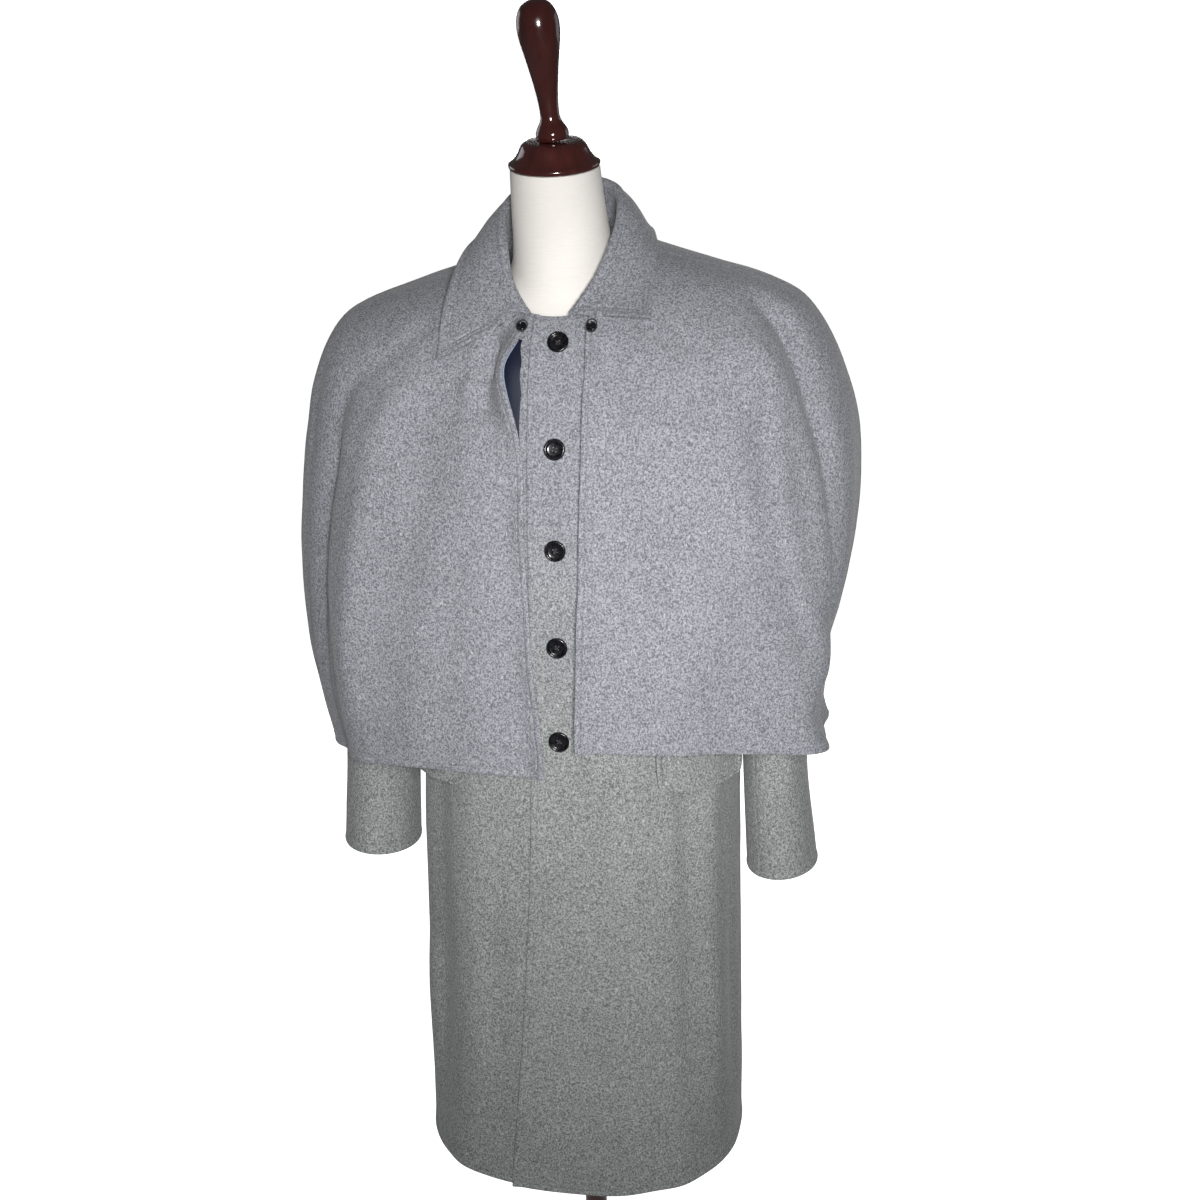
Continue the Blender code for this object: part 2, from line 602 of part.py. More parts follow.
def build_cape():
    """The cape's two fronts, its back, and the lining where it shows along the edges."""
    columns = CAPE_COLUMNS
    panel("cape_front_left", cape_point, CAPE_PLACES, cape_left_turns, columns, seams=(False, True))
    panel("cape_front_right", cape_point, CAPE_PLACES, cape_right_turns, columns, seams=(True, False))
    panel("cape_back", cape_point, CAPE_PLACES, cape_back_turns, CAPE_BACK_COLUMNS)

    lined = [CAPE_END - 0.12] + CAPE_PLACES[1:-2] + [0.9]
    share = LINED_COLUMNS / CAPE_COLUMNS

    def left_strip(place):
        first, last = cape_left_turns(place)
        return first + EDGE_INSET, first + (last - first) * share

    def right_strip(place):
        first, last = cape_right_turns(place)
        return last - (last - first) * share, last - EDGE_INSET

    for name, turns in (("cape_lining_left", left_strip), ("cape_lining_right", right_strip)):
        panel(name, lining_point, lined, turns, LINED_COLUMNS, NAVY, LINING, seams=(False, False))


# ---------------------------------------------------------------- collar and flaps
def arc(middle, radius, out, steps):
    """The fold's half round, from the stand side over the top to the leaf side."""
    return [
        middle - out * radius * math.cos(turn) + Vector((0.0, 0.0, radius * math.sin(turn)))
        for turn in spread(0.0, math.pi, steps)
    ]


def collar_section(station):
    """One section across the collar: up the stand, over the fold and down the leaf."""
    seam = ring_point(COAT[-1], math.radians(station.turn)) + Vector((0.0, 0.0, CLOTH + LAY))
    fold = Vector((station.fold_x, station.fold_y, station.fold_z))
    edge = Vector((station.edge_x, station.edge_y, station.edge_z))
    out = Vector((edge.x - fold.x, edge.y - fold.y, 0.0)).normalized()
    bend = arc(fold - Vector((0.0, 0.0, FOLD_RADIUS)), FOLD_RADIUS, out, 3)
    stand = [seam.lerp(bend[0], t) for t in (0.0, 0.5)]
    leaf = []
    for t in (0.25, 0.5, 0.75, 1.0):
        bow = Vector((0.0, 0.0, LEAF_BOW * math.sin(math.pi * t)))
        leaf.append(bend[-1].lerp(edge, t) + bow)
    return stand + bend + leaf


def laid_on(tree, point, space):
    """A point kept at least a space off a surface."""
    near, normal, _, _ = tree.find_nearest(point)
    gap = (point - near).dot(normal)
    return point + normal * (space - gap) if gap < space else point


def build_collar(cape_trees):
    """The turn-down collar, one folded wall; its leaf lies on the cape."""
    places = spread(0.0, len(COLLAR) - 1, COLLAR_STEPS)
    sections = [collar_section(between(COLLAR, place)) for place in places]
    for section in sections:
        for k in range(STAND_POINTS, len(section)):
            for tree in cape_trees:
                section[k] = laid_on(tree, section[k], LEAF_SPACE)
    points = [list(row) for row in zip(*sections)]
    return thicken(grid_object("collar", points, WOOL), CLOTH)


def build_flap(side):
    """A pocket flap with round lower corners, its points the coat's, moved out."""
    surface = lapped_point if side > 0 else coat_point
    below, here, above_it = COAT[FLAP_RING - 1:FLAP_RING + 2]
    start = turn_at_x(here, side * FLAP_INNER_X)
    low_z, high_z = FLAP_Z
    points = []
    for row in spread(0.0, 1.0, 6):
        z = low_z + (high_z - low_z) * row
        above = z - low_z
        back = 0.0
        if above < FLAP_CORNER:
            back = FLAP_CORNER - math.sqrt(FLAP_CORNER ** 2 - (FLAP_CORNER - above) ** 2)
        step = above_it.side_z - here.side_z if z > here.side_z else here.side_z - below.side_z
        level = FLAP_RING + (z - here.side_z) / step
        trim = back / here.left
        turns = spread(start + side * trim, start + side * (FLAP_TURN - trim), 9)
        if side < 0:
            turns.reverse()
        lift = CLOTH + LAY + FLAP_STAND * (1.0 - row)
        points.append([moved_out(surface(level, turn), 0.0, lift) for turn in turns])
    name = "pocket_flap_left" if side > 0 else "pocket_flap_right"
    thicken(grid_object(name, points, WOOL), CLOTH)


# ---------------------------------------------------------------- buttons
def facing(point, out):
    """A matrix at a point, its Z along a direction and its Y as upright as it can be."""
    across = Vector((0.0, 0.0, 1.0)).cross(out).normalized()
    up = out.cross(across)
    return Matrix.Translation(point) @ Matrix((across, up, out)).transposed().to_4x4()


def button_profile(radius, thick):
    """A dished face inside a raised round rim, over a plain back."""
    return [
        (0.0, thick * 0.52), (radius * 0.40, thick * 0.55), (radius * 0.66, thick * 0.68),
        (radius * 0.76, thick * 0.96), (radius * 0.86, thick), (radius * 0.96, thick * 0.86),
        (radius, thick * 0.60), (radius * 0.95, thick * 0.22), (radius * 0.72, 0.0), (0.0, 0.0),
    ]


def build_buttons(panels):
    """Five coat buttons down the lap, and the small two that hold the cape."""
    bpy.context.view_layer.update()
    lap = evaluated_tree(panels[0])
    radius = BUTTON_DIAMETER / 2.0
    for i in range(BUTTON_COUNT):
        z = BUTTON_TOP_Z - BUTTON_PITCH * i
        hits = [
            lap.ray_cast(Vector((0.0, -0.5, z + step * radius)), Vector((0.0, 1.0, 0.0)), 0.5)[0]
            for step in (-0.9, 0.9)
        ]
        slope = (hits[1] - hits[0]).normalized()
        out = slope.cross(Vector((1.0, 0.0, 0.0))).normalized() * -1.0
        if out.y > 0:
            out.negate()
        spot = (hits[0] + hits[1]) * 0.5 + out * BUTTON_LIFT
        profile = button_profile(radius, BUTTON_THICK)
        turned("button_%d" % (i + 1), profile, facing(spot, out), HORN, steps=28)


def build_cape_buttons():
    """The small buttons at the cape's neck corners, under the collar."""
    bpy.context.view_layer.update()
    radius = CAPE_BUTTON_DIAMETER / 2.0
    for side, name in ((1.0, "left"), (-1.0, "right")):
        tree = evaluated_tree(bpy.data.objects["cape_front_" + name])
        start = Vector((side * CAPE_BUTTON_X, -0.5, CAPE_BUTTON_Z))
        hit, normal, _, _ = tree.ray_cast(start, Vector((0.0, 1.0, 0.0)), 0.5)
        out = Vector((0.0, normal.y, normal.z)).normalized()
        profile = button_profile(radius, CAPE_BUTTON_THICK)
        place = facing(hit + out * CAPE_BUTTON_LIFT, out)
        turned("cape_button_" + name, profile, place, HORN, steps=20)


# ---------------------------------------------------------------- the dress form
def build_form():
    """The form's body and neck as one closed loft, its cap, finial, pole and base."""
    columns = 32
    bm = bmesh.new()
    rings = [
        [bm.verts.new(ring_point(ring, 2.0 * math.pi * i / columns)) for i in range(columns)]
        for ring in FORM
    ]
    for low, high in zip(rings, rings[1:]):
        for i in range(columns):
            j = (i + 1) % columns
            bm.faces.new((low[i], low[j], high[j], high[i]))
    bm.faces.new(list(reversed(rings[0])))
    bm.faces.new(rings[-1])
    bmesh.ops.recalc_face_normals(bm, faces=bm.faces)
    linked("dress_form", bm, LINEN)

    top = FORM[-1]
    tip = math.atan2(top.back_z - top.front_z, top.front + top.back)
    seat = (
        Matrix.Translation((top.centre_x, top.centre_y, top.side_z))
        @ Matrix.Rotation(tip, 4, "X")
        @ Matrix.Translation((0.0, 0.0, 2.0 * CLEAR))
    )
    turned("neck_cap", NECK_CAP_PROFILE, seat, LACQUER, steps=40)
    lean = Matrix.Rotation(FINIAL_LEAN, 4, "Y")
    heel = FINIAL_FOOT_RADIUS * math.sin(abs(FINIAL_LEAN))
    foot = seat @ Matrix.Translation((0.0, 0.0, NECK_CAP_HEIGHT + CLEAR + heel)) @ lean
    finial = [(radius, height * FINIAL_HEIGHT) for radius, height in FINIAL_PROFILE]
    turned("finial", finial, foot, LACQUER, steps=32)

    pole = (FORM[0].side_z - BASE_HEIGHT) - 2.0 * CLEAR
    bpy.ops.mesh.primitive_cylinder_add(
        vertices=32, radius=POLE_RADIUS, depth=pole,
        location=(0.0, 0.0, BASE_HEIGHT + CLEAR + pole / 2.0),
    )
    obj = bpy.context.object
    obj.name = "stand_pole"
    obj.data.materials.append(LACQUER)
    for collection in list(obj.users_collection):
        collection.objects.unlink(obj)
    PARTS.objects.link(obj)
    turned("stand_base", BASE_PROFILE, Matrix.Identity(4), LACQUER, steps=48)


UNDER_LEAF = (
    "cape_front_left", "cape_front_right", "cape_back", "cape_button_left", "cape_button_right",
)


def main():
    panels = build_coat()
    trees = side_tree(panels)
    for side in (1.0, -1.0):
        cutter = armhole_cutter(side)
        cut(panels[0] if side > 0 else panels[1], cutter)
        cut(panels[2], cutter)
        build_sleeve(trees, side)
        build_flap(side)
    build_buttons(panels)
    build_cape()
    build_cape_buttons()
    bpy.context.view_layer.update()
    under_leaf = [evaluated_tree(bpy.data.objects[name]) for name in UNDER_LEAF]
    build_collar(under_leaf)
    build_form()


main()
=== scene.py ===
"""Wool cape coat on a limbless dress form: its cloth, topstitching, buttons, form and studio.

Every cloth piece is a fine grid on the same rings as its solid, with its creases placed one
by one, then given its wall and rounded edges. Metres, +Z up, the coat's front faces -Y and
the wearer's left is +X.
"""

import math
from collections import namedtuple

import bmesh
import bpy
import numpy as np
from mathutils import Matrix, Vector, noise
from mathutils.bvhtree import BVHTree


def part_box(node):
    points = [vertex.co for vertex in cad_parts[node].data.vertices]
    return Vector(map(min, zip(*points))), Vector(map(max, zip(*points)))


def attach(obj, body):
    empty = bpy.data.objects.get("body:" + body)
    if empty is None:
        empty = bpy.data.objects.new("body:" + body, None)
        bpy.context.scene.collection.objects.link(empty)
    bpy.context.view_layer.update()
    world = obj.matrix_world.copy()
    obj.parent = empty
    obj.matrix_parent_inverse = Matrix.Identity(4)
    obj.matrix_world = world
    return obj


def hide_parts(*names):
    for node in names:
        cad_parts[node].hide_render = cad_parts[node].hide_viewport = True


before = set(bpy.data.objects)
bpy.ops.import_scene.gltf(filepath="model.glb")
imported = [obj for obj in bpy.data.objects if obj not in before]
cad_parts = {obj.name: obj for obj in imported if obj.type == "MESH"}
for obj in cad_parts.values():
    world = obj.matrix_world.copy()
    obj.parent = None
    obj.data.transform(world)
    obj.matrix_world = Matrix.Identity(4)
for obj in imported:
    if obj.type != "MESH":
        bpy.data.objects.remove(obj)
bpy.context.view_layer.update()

bl_info = {
    "name": "Wool cape coat",
    "version": (1, 0, 0),
    "blender": (4, 5, 0),
    "location": "View3D > Sidebar > Cape coat",
    "description": "Builds a wool cape coat on a dress form round its solid pieces",
    "category": "Object",
}

# ---------------------------------------------------------------- sizes
CLOTH = 0.0025
LINING = 0.0010
LINING_SPACE = 0.0013
LAY = 0.0005
CLEAR = 0.0003
UNDERLAP = 0.030
LAP_SPACE = 0.0020
LAP_FADE = (0.055, 0.110)
SLEEVE_SEAM = 0.0004
SLEEVE_SPACE = 0.0030
SLEEVE_DROP_LEFT = 0.004
SIDE = math.pi / 2.0
CAPE_SEAM = math.radians(94)
SLEEVE_SEAM_TURN = math.radians(122)
ARMHOLE_Y = -0.004
ARMHOLE_Z = 1.300
ARMHOLE_HALF_HEIGHT = 0.094
ARMHOLE_HALF_DEPTH = 0.068
FLAP_Z = (0.862, 0.922)
FLAP_RING = 4
FLAP_INNER_X = 0.106
FLAP_CORNER = 0.020
FLAP_TURN = math.radians(46)
FLAP_STAND = 0.002
BUTTON_TOP_Z = 1.382
BUTTON_PITCH = 0.113
BUTTON_COUNT = 5
CAPE_BUTTON_X = 0.0388
CAPE_BUTTON_Z = 1.4008
NECK_CAP_RADIUS = 0.0525
NECK_CAP_HEIGHT = 0.029
FINIAL_HEIGHT = 0.151
FINIAL_LEAN = math.radians(-4.2)
FINIAL_FOOT_RADIUS = 0.0188
POLE_RADIUS = 0.016
BASE_RADIUS = 0.205
BASE_HEIGHT = 0.034
FOLD_RADIUS = 0.0034
LEAF_SPACE = 0.0036
LEAF_BOW = 0.006
SEAM = 0.0006
# Where a piece's edge stands off what it lies on: how far, and over what width.
CAPE_LIP = 0.0085
CAPE_HEM_LIP = 0.0022
CAPE_LIP_REACH = 0.013
LAP_LIP = 0.0030
FLAP_LIP = 0.0048
LIP_REACH = 0.008
LEAF_LIP = 0.0030
LEAF_LIP_REACH = 0.010
FLAP_LEAN = 4.5  # a flap's lower edge stands off this many times FLAP_STAND
FLAP_SPACE = 0.0022
# Points along the collar's section at which its leaf and its flat part begin.
LEAF_START = 19.5
PAST_FOLD = 21.0

Ring = namedtuple("Ring", "front_z side_z back_z left right front back centre_x centre_y square")

# The coat, hem to neckline. left and right are the half widths on the wearer's left (+X)
# and right, front and back the depths, square the superellipse power of the section.
COAT = [
    # front_z side_z back_z  left   right  front  back   centre_x centre_y square
    Ring(0.316, 0.332, 0.322, 0.194, 0.208, 0.150, 0.150, 0.000, 0.000, 2.5),
    Ring(0.450, 0.460, 0.450, 0.193, 0.204, 0.151, 0.149, 0.000, 0.000, 2.5),
    Ring(0.600, 0.600, 0.600, 0.192, 0.199, 0.153, 0.148, 0.000, 0.000, 2.5),
    Ring(0.750, 0.750, 0.750, 0.191, 0.195, 0.155, 0.147, 0.000, 0.000, 2.5),
    Ring(0.900, 0.900, 0.900, 0.190, 0.193, 0.156, 0.145, 0.000, 0.000, 2.5),
    Ring(1.020, 1.020, 1.020, 0.186, 0.186, 0.153, 0.141, 0.000, 0.000, 2.5),
    Ring(1.130, 1.130, 1.130, 0.182, 0.182, 0.149, 0.142, 0.000, 0.000, 2.5),
    Ring(1.210, 1.200, 1.210, 0.181, 0.181, 0.143, 0.145, 0.000, 0.000, 2.5),
    Ring(1.270, 1.275, 1.275, 0.183, 0.183, 0.134, 0.145, 0.000, 0.000, 2.5),
    Ring(1.315, 1.350, 1.330, 0.187, 0.187, 0.124, 0.140, 0.000, 0.000, 2.5),
    Ring(1.345, 1.408, 1.378, 0.188, 0.188, 0.115, 0.130, 0.000, 0.000, 2.5),
    Ring(1.370, 1.432, 1.418, 0.152, 0.152, 0.105, 0.114, -0.002, 0.000, 2.4),
    Ring(1.390, 1.448, 1.450, 0.113, 0.113, 0.094, 0.093, -0.005, 0.000, 2.3),
    Ring(1.407, 1.462, 1.474, 0.078, 0.078, 0.082, 0.070, -0.009, 0.000, 2.2),
]
# How far the lap's free edge stands past the middle, ring by ring, as COAT.
LAP = [
    0.078, 0.065, 0.051, 0.040, 0.033, 0.031, 0.031,
    0.031, 0.031, 0.031, 0.031, 0.031, 0.030, 0.028,
]

# The cape, neck to hem.
CAPE = [
    # front_z side_z back_z  left   right  front  back   centre_x centre_y square
    Ring(1.403, 1.472, 1.479, 0.081, 0.096, 0.097, 0.084, 0.000, 0.000, 2.2),
    Ring(1.380, 1.461, 1.459, 0.118, 0.132, 0.112, 0.107, 0.000, 0.000, 2.3),
    Ring(1.354, 1.450, 1.430, 0.165, 0.176, 0.124, 0.128, 0.000, 0.000, 2.4),
    Ring(1.324, 1.437, 1.395, 0.214, 0.220, 0.134, 0.146, 0.000, 0.000, 2.5),
    Ring(1.292, 1.419, 1.352, 0.259, 0.265, 0.143, 0.159, 0.000, 0.000, 2.5),
    Ring(1.257, 1.389, 1.302, 0.286, 0.292, 0.150, 0.168, 0.000, 0.000, 2.5),
    Ring(1.217, 1.342, 1.247, 0.309, 0.312, 0.157, 0.175, 0.000, 0.000, 2.4),
    Ring(1.172, 1.280, 1.190, 0.329, 0.325, 0.163, 0.181, 0.000, 0.000, 2.3),
    Ring(1.127, 1.210, 1.135, 0.333, 0.335, 0.168, 0.186, 0.000, 0.000, 2.3),
    Ring(1.080, 1.130, 1.080, 0.328, 0.342, 0.173, 0.190, 0.000, 0.000, 2.3),
    Ring(1.032, 1.055, 1.028, 0.314, 0.342, 0.177, 0.193, 0.000, 0.000, 2.3),
    Ring(0.988, 0.985, 0.978, 0.298, 0.335, 0.180, 0.195, 0.000, 0.000, 2.3),
    Ring(0.953, 0.932, 0.924, 0.292, 0.323, 0.182, 0.197, 0.000, 0.000, 2.3),
    Ring(0.926, 0.893, 0.880, 0.298, 0.310, 0.183, 0.198, 0.000, 0.000, 2.3),
]
# Where the cape's two front edges stand, ring by ring, as CAPE.
CAPE_EDGE_LEFT = [
    0.036, 0.033, 0.034, 0.033, 0.033, 0.032, 0.031,
    0.030, 0.029, 0.027, 0.026, 0.024, 0.023, 0.024,
]
CAPE_EDGE_RIGHT = [
    0.032, 0.040, 0.052, 0.047, 0.038, 0.034, 0.033,
    0.032, 0.030, 0.027, 0.024, 0.019, 0.015, 0.013,
]
CAPE_DROP_RIGHT = (0.026, 0.032)  # the wearer's right hem hangs lower, at its side and corner
SHOULDER_DROP_RIGHT = 0.014  # and its shoulder lies lower
EDGE_LIFT_RIGHT = 0.012    # its front edge curls this far forward below the collar

Fold = namedtuple("Fold", "angle hem_angle spread top hem starts")
# The cape's largest folds: where round the body they run at the neck and at the hem, how
# wide they are, how far they stand out (or in, below zero) at the neck and at the hem, and
# the ring where they start. Angles are in degrees from the front to the wearer's left.
CAPE_FOLDS = [
    Fold(angle=-14, hem_angle=-12, spread=7, top=0.006, hem=0.002, starts=1),
    Fold(angle=-26, hem_angle=-24, spread=6, top=-0.007, hem=-0.002, starts=1),
    Fold(angle=-42, hem_angle=-48, spread=9, top=0.003, hem=0.012, starts=4),
    Fold(angle=-58, hem_angle=-66, spread=8, top=-0.002, hem=-0.009, starts=5),
    Fold(angle=26, hem_angle=36, spread=9, top=-0.002, hem=-0.006, starts=3),
    Fold(angle=44, hem_angle=66, spread=10, top=0.005, hem=0.026, starts=3),
    Fold(angle=76, hem_angle=94, spread=9, top=-0.002, hem=-0.007, starts=6),
    Fold(angle=112, hem_angle=112, spread=10, top=0.002, hem=0.012, starts=5),
    Fold(angle=140, hem_angle=140, spread=9, top=-0.002, hem=-0.009, starts=4),
    Fold(angle=166, hem_angle=166, spread=10, top=0.002, hem=0.012, starts=3),
    Fold(angle=196, hem_angle=196, spread=10, top=-0.002, hem=-0.008, starts=3),
    Fold(angle=222, hem_angle=222, spread=10, top=0.002, hem=0.012, starts=4),
    Fold(angle=248, hem_angle=248, spread=9, top=-0.002, hem=-0.008, starts=5),
]
COAT_FOLDS = [
    Fold(angle=38, hem_angle=38, spread=9, top=0.0, hem=0.004, starts=5),
    Fold(angle=128, hem_angle=128, spread=10, top=0.0, hem=0.006, starts=5),
    Fold(angle=180, hem_angle=180, spread=9, top=0.0, hem=-0.005, starts=5),
    Fold(angle=232, hem_angle=232, spread=10, top=0.0, hem=0.006, starts=5),
    Fold(angle=-40, hem_angle=-40, spread=9, top=0.0, hem=0.004, starts=5),
]

# The dress form, bottom to the top of its neck.
FORM = [
    # front_z side_z back_z  left   right  front  back   centre_x centre_y square
    Ring(0.720, 0.720, 0.720, 0.150, 0.150, 0.110, 0.110, 0.000, 0.000, 2.1),
    Ring(0.735, 0.735, 0.735, 0.162, 0.162, 0.122, 0.120, 0.000, 0.000, 2.1),
    Ring(0.800, 0.800, 0.800, 0.170, 0.170, 0.132, 0.130, 0.000, 0.000, 2.1),
    Ring(0.900, 0.900, 0.900, 0.172, 0.172, 0.134, 0.128, 0.000, 0.000, 2.1),
    Ring(1.000, 1.000, 1.000, 0.158, 0.158, 0.124, 0.114, 0.000, 0.000, 2.1),
    Ring(1.080, 1.080, 1.080, 0.150, 0.150, 0.120, 0.110, 0.000, 0.000, 2.1),
    Ring(1.160, 1.160, 1.160, 0.156, 0.156, 0.128, 0.116, 0.000, 0.000, 2.1),
    Ring(1.240, 1.240, 1.240, 0.165, 0.165, 0.128, 0.124, 0.000, 0.000, 2.2),
    Ring(1.305, 1.320, 1.310, 0.168, 0.168, 0.115, 0.126, 0.000, 0.000, 2.3),
    Ring(1.345, 1.378, 1.360, 0.160, 0.160, 0.104, 0.116, -0.002, 0.000, 2.3),
    Ring(1.368, 1.408, 1.398, 0.130, 0.130, 0.095, 0.100, -0.004, 0.000, 2.3),
    Ring(1.388, 1.428, 1.428, 0.098, 0.098, 0.086, 0.080, -0.007, 0.000, 2.2),
    Ring(1.404, 1.444, 1.452, 0.073, 0.073, 0.076, 0.064, -0.010, 0.000, 2.1),
    Ring(1.425, 1.462, 1.478, 0.060, 0.060, 0.065, 0.052, -0.012, -0.001, 2.0),
    Ring(1.465, 1.490, 1.508, 0.0560, 0.0560, 0.0580, 0.0500, -0.0125, -0.006, 2.0),
    Ring(1.524, 1.534, 1.546, 0.0530, 0.0530, 0.0530, 0.0500, -0.0145, -0.014, 2.0),
    Ring(1.559, 1.568, 1.577, 0.0510, 0.0510, 0.0505, 0.0505, -0.0155, -0.020, 2.0),
]

SleeveRing = namedtuple(
    "SleeveRing", "outer_left outer_right outer_z inner_left inner_right inner_z half_depth centre_y"
)
# The sleeves below their armholes, shoulder to cuff: the outer and inner ends of each ring
# on the wearer's left and right, how far it reaches front and back, and its middle.
SLEEVE = [
    # outer_l outer_r outer_z inner_l inner_r inner_z half_depth centre_y
    SleeveRing(0.222, 0.222, 1.404, 0.190, 0.190, 1.194, 0.074, -0.004),
    SleeveRing(0.254, 0.254, 1.388, 0.190, 0.190, 1.178, 0.079, -0.004),
    SleeveRing(0.281, 0.281, 1.350, 0.190, 0.190, 1.158, 0.080, -0.004),
    SleeveRing(0.298, 0.298, 1.290, 0.190, 0.191, 1.130, 0.078, -0.003),
    SleeveRing(0.306, 0.308, 1.200, 0.190, 0.193, 1.090, 0.074, 0.000),
    SleeveRing(0.300, 0.312, 1.090, 0.192, 0.198, 1.030, 0.069, 0.003),
    SleeveRing(0.281, 0.308, 0.980, 0.195, 0.206, 0.950, 0.065, 0.000),
    SleeveRing(0.276, 0.303, 0.860, 0.199, 0.214, 0.850, 0.061, -0.008),
    SleeveRing(0.292, 0.311, 0.734, 0.205, 0.216, 0.728, 0.060, -0.018),
]

CollarStation = namedtuple("CollarStation", "turn fold_x fold_y fold_z edge_x edge_y edge_z")
# The collar, from its wearer's-right front end round the back to the left one: the turn
# round the neck of its seam, the fold's place and the place of the leaf's outer edge.
COLLAR = [
    #             turn  fold_x  fold_y  fold_z  edge_x  edge_y  edge_z
    CollarStation(-22, -0.038, -0.090, 1.412, -0.133, -0.123, 1.364),
    CollarStation(-42, -0.061, -0.071, 1.446, -0.134, -0.086, 1.407),
    CollarStation(-66, -0.075, -0.040, 1.486, -0.127, -0.040, 1.452),
    CollarStation(-92, -0.081, 0.000, 1.518, -0.119, 0.004, 1.474),
    CollarStation(-122, -0.070, 0.042, 1.538, -0.101, 0.062, 1.487),
    CollarStation(-152, -0.044, 0.068, 1.547, -0.060, 0.101, 1.487),
    CollarStation(-180, -0.012, 0.076, 1.550, -0.010, 0.112, 1.487),
    CollarStation(-208, 0.020, 0.068, 1.547, 0.040, 0.101, 1.487),
    CollarStation(-238, 0.046, 0.042, 1.538, 0.077, 0.062, 1.487),
    CollarStation(-268, 0.057, 0.000, 1.518, 0.092, 0.004, 1.478),
    CollarStation(-294, 0.053, -0.040, 1.484, 0.099, -0.040, 1.462),
    CollarStation(-318, 0.038, -0.070, 1.448, 0.104, -0.080, 1.433),
    CollarStation(-340, 0.014, -0.090, 1.413, 0.106, -0.116, 1.409),
]
# The finial, top down: radius in metres, height as a share of the whole.
FINIAL_PROFILE = [
    (0.0, 1.000), (0.0060, 0.997), (0.0115, 0.984), (0.0172, 0.955), (0.0216, 0.905),
    (0.0238, 0.845), (0.0240, 0.790), (0.0227, 0.710), (0.0198, 0.610), (0.0166, 0.500),
    (0.0138, 0.390), (0.0118, 0.290), (0.0110, 0.215), (0.0111, 0.165), (0.0128, 0.125),
    (0.0160, 0.090), (0.0182, 0.060), (0.0188, 0.030), (0.0182, 0.0), (0.0, 0.0),
]


# ---------------------------------------------------------------- curves and surfaces
def smooth(low, high, value):
    """A soft step, 0 below low and 1 above high."""
    t = np.clip((value - low) / (high - low), 0.0, 1.0)
    return t * t * (3.0 - 2.0 * t)


def between(rows, place):
    """The row at place, on a smooth curve through a table's rows, numbers or point arrays."""
    low = min(int(place), len(rows) - 2)
    t = place - low
    picks = [rows[min(max(low + step, 0), len(rows) - 1)] for step in (-1, 0, 1, 2)]
    a, b, c, d = (np.asarray(pick, dtype=float) for pick in picks)
    value = b + 0.5 * t * (c - a + t * (2 * a - 5 * b + 4 * c - d + t * (3 * (b - c) + d - a)))
    return type(rows[0])(*value) if hasattr(rows[0], "_fields") else value


def ring_row(ring, turns):
    """Points of a ring at turns from the front, towards the wearer's left."""
    across, ahead = np.sin(turns), np.cos(turns)
    power = 2.0 / ring.square
    width = np.where(across > 0, ring.left, ring.right)
    depth = np.where(ahead > 0, ring.front, ring.back)
    tilt = (ring.front_z - ring.back_z) * 0.5
    bow = (ring.front_z + ring.back_z) * 0.5 - ring.side_z
    return np.stack([
        ring.centre_x + width * np.sign(across) * np.abs(across) ** power,
        ring.centre_y - depth * np.sign(ahead) * np.abs(ahead) ** power,
        ring.side_z + tilt * ahead + bow * ahead * ahead,
    ], axis=-1)


def turn_at_x(ring, x):
    """The turn at which a ring's front half passes x."""
    x = float(x) - ring.centre_x
    width = ring.left if x > 0 else ring.right
    return math.copysign(math.asin(min(abs(x) / width, 1.0) ** (ring.square / 2.0)), x)


def from_middle(turns, centre):
    """Degrees from a centre round the body, the short way."""
    return (np.degrees(turns) - centre + 180.0) % 360.0 - 180.0


def fold_depth(folds, place, last, turns):
    """How far the large folds move the cloth out."""
    depth = np.zeros_like(turns)
    for fold in folds:
        centre = fold.angle + (fold.hem_angle - fold.angle) * place / last
        grown = smooth(fold.starts - 1.0, fold.starts + 1.5, place)
        height = fold.top + (fold.hem - fold.top) * place / last
        depth += grown * height * np.exp(-((from_middle(turns, centre) / fold.spread) ** 2))
    return depth


def moved_out(points, distance):
    """Points moved level, straight away from the body's middle line."""
    away = points * np.array([1.0, 1.6, 0.0])
    away /= np.linalg.norm(away, axis=-1, keepdims=True)
    return points + away * np.asarray(distance)[..., None]


def coat_row(place, turns):
    last = len(COAT) - 1
    points = ring_row(between(COAT, place), turns)
    return moved_out(points, fold_depth(COAT_FOLDS, last - place, last, turns))


def lapped_row(place, turns):
    """As coat_row, lifted off the other front where the two lap."""
    points = coat_row(place, turns)
    points[:, 1] -= (CLOTH + LAP_SPACE) * (1.0 - smooth(*LAP_FADE, points[:, 0]))
    return points


def cape_row(place, turns):
    last = len(CAPE) - 1
    points = ring_row(between(CAPE, place), turns)
    points = moved_out(points, fold_depth(CAPE_FOLDS, place, last, turns))
    side_share = smooth(0.03, 0.16, -points[:, 0])
    points[:, 2] -= SHOULDER_DROP_RIGHT * side_share * (1.0 - smooth(5.0, 8.0, place))
    side_drop, corner_drop = CAPE_DROP_RIGHT
    points[:, 2] -= side_drop * (place / last) ** 3 * side_share
    right_front = (np.sin(turns) < 0) & (np.cos(turns) > 0)
    ahead = np.where(right_front, np.cos(turns) ** 2, 0.0)
    points[:, 2] -= (corner_drop - side_drop * side_share) * (place / last) ** 3 * ahead
    lifted = smooth(0.0, 2.0, place) * (1.0 - smooth(2.5, 6.0, place))
    near_edge = np.where(right_front, 1.0 - smooth(0.045, 0.085, np.abs(points[:, 0])), 0.0)
    points[:, 1] -= EDGE_LIFT_RIGHT * lifted * near_edge
    return points


def lining_row(place, turns):
    points = cape_row(place, turns)
    return moved_out(points, np.full(len(turns), -(LINING + LINING_SPACE)))


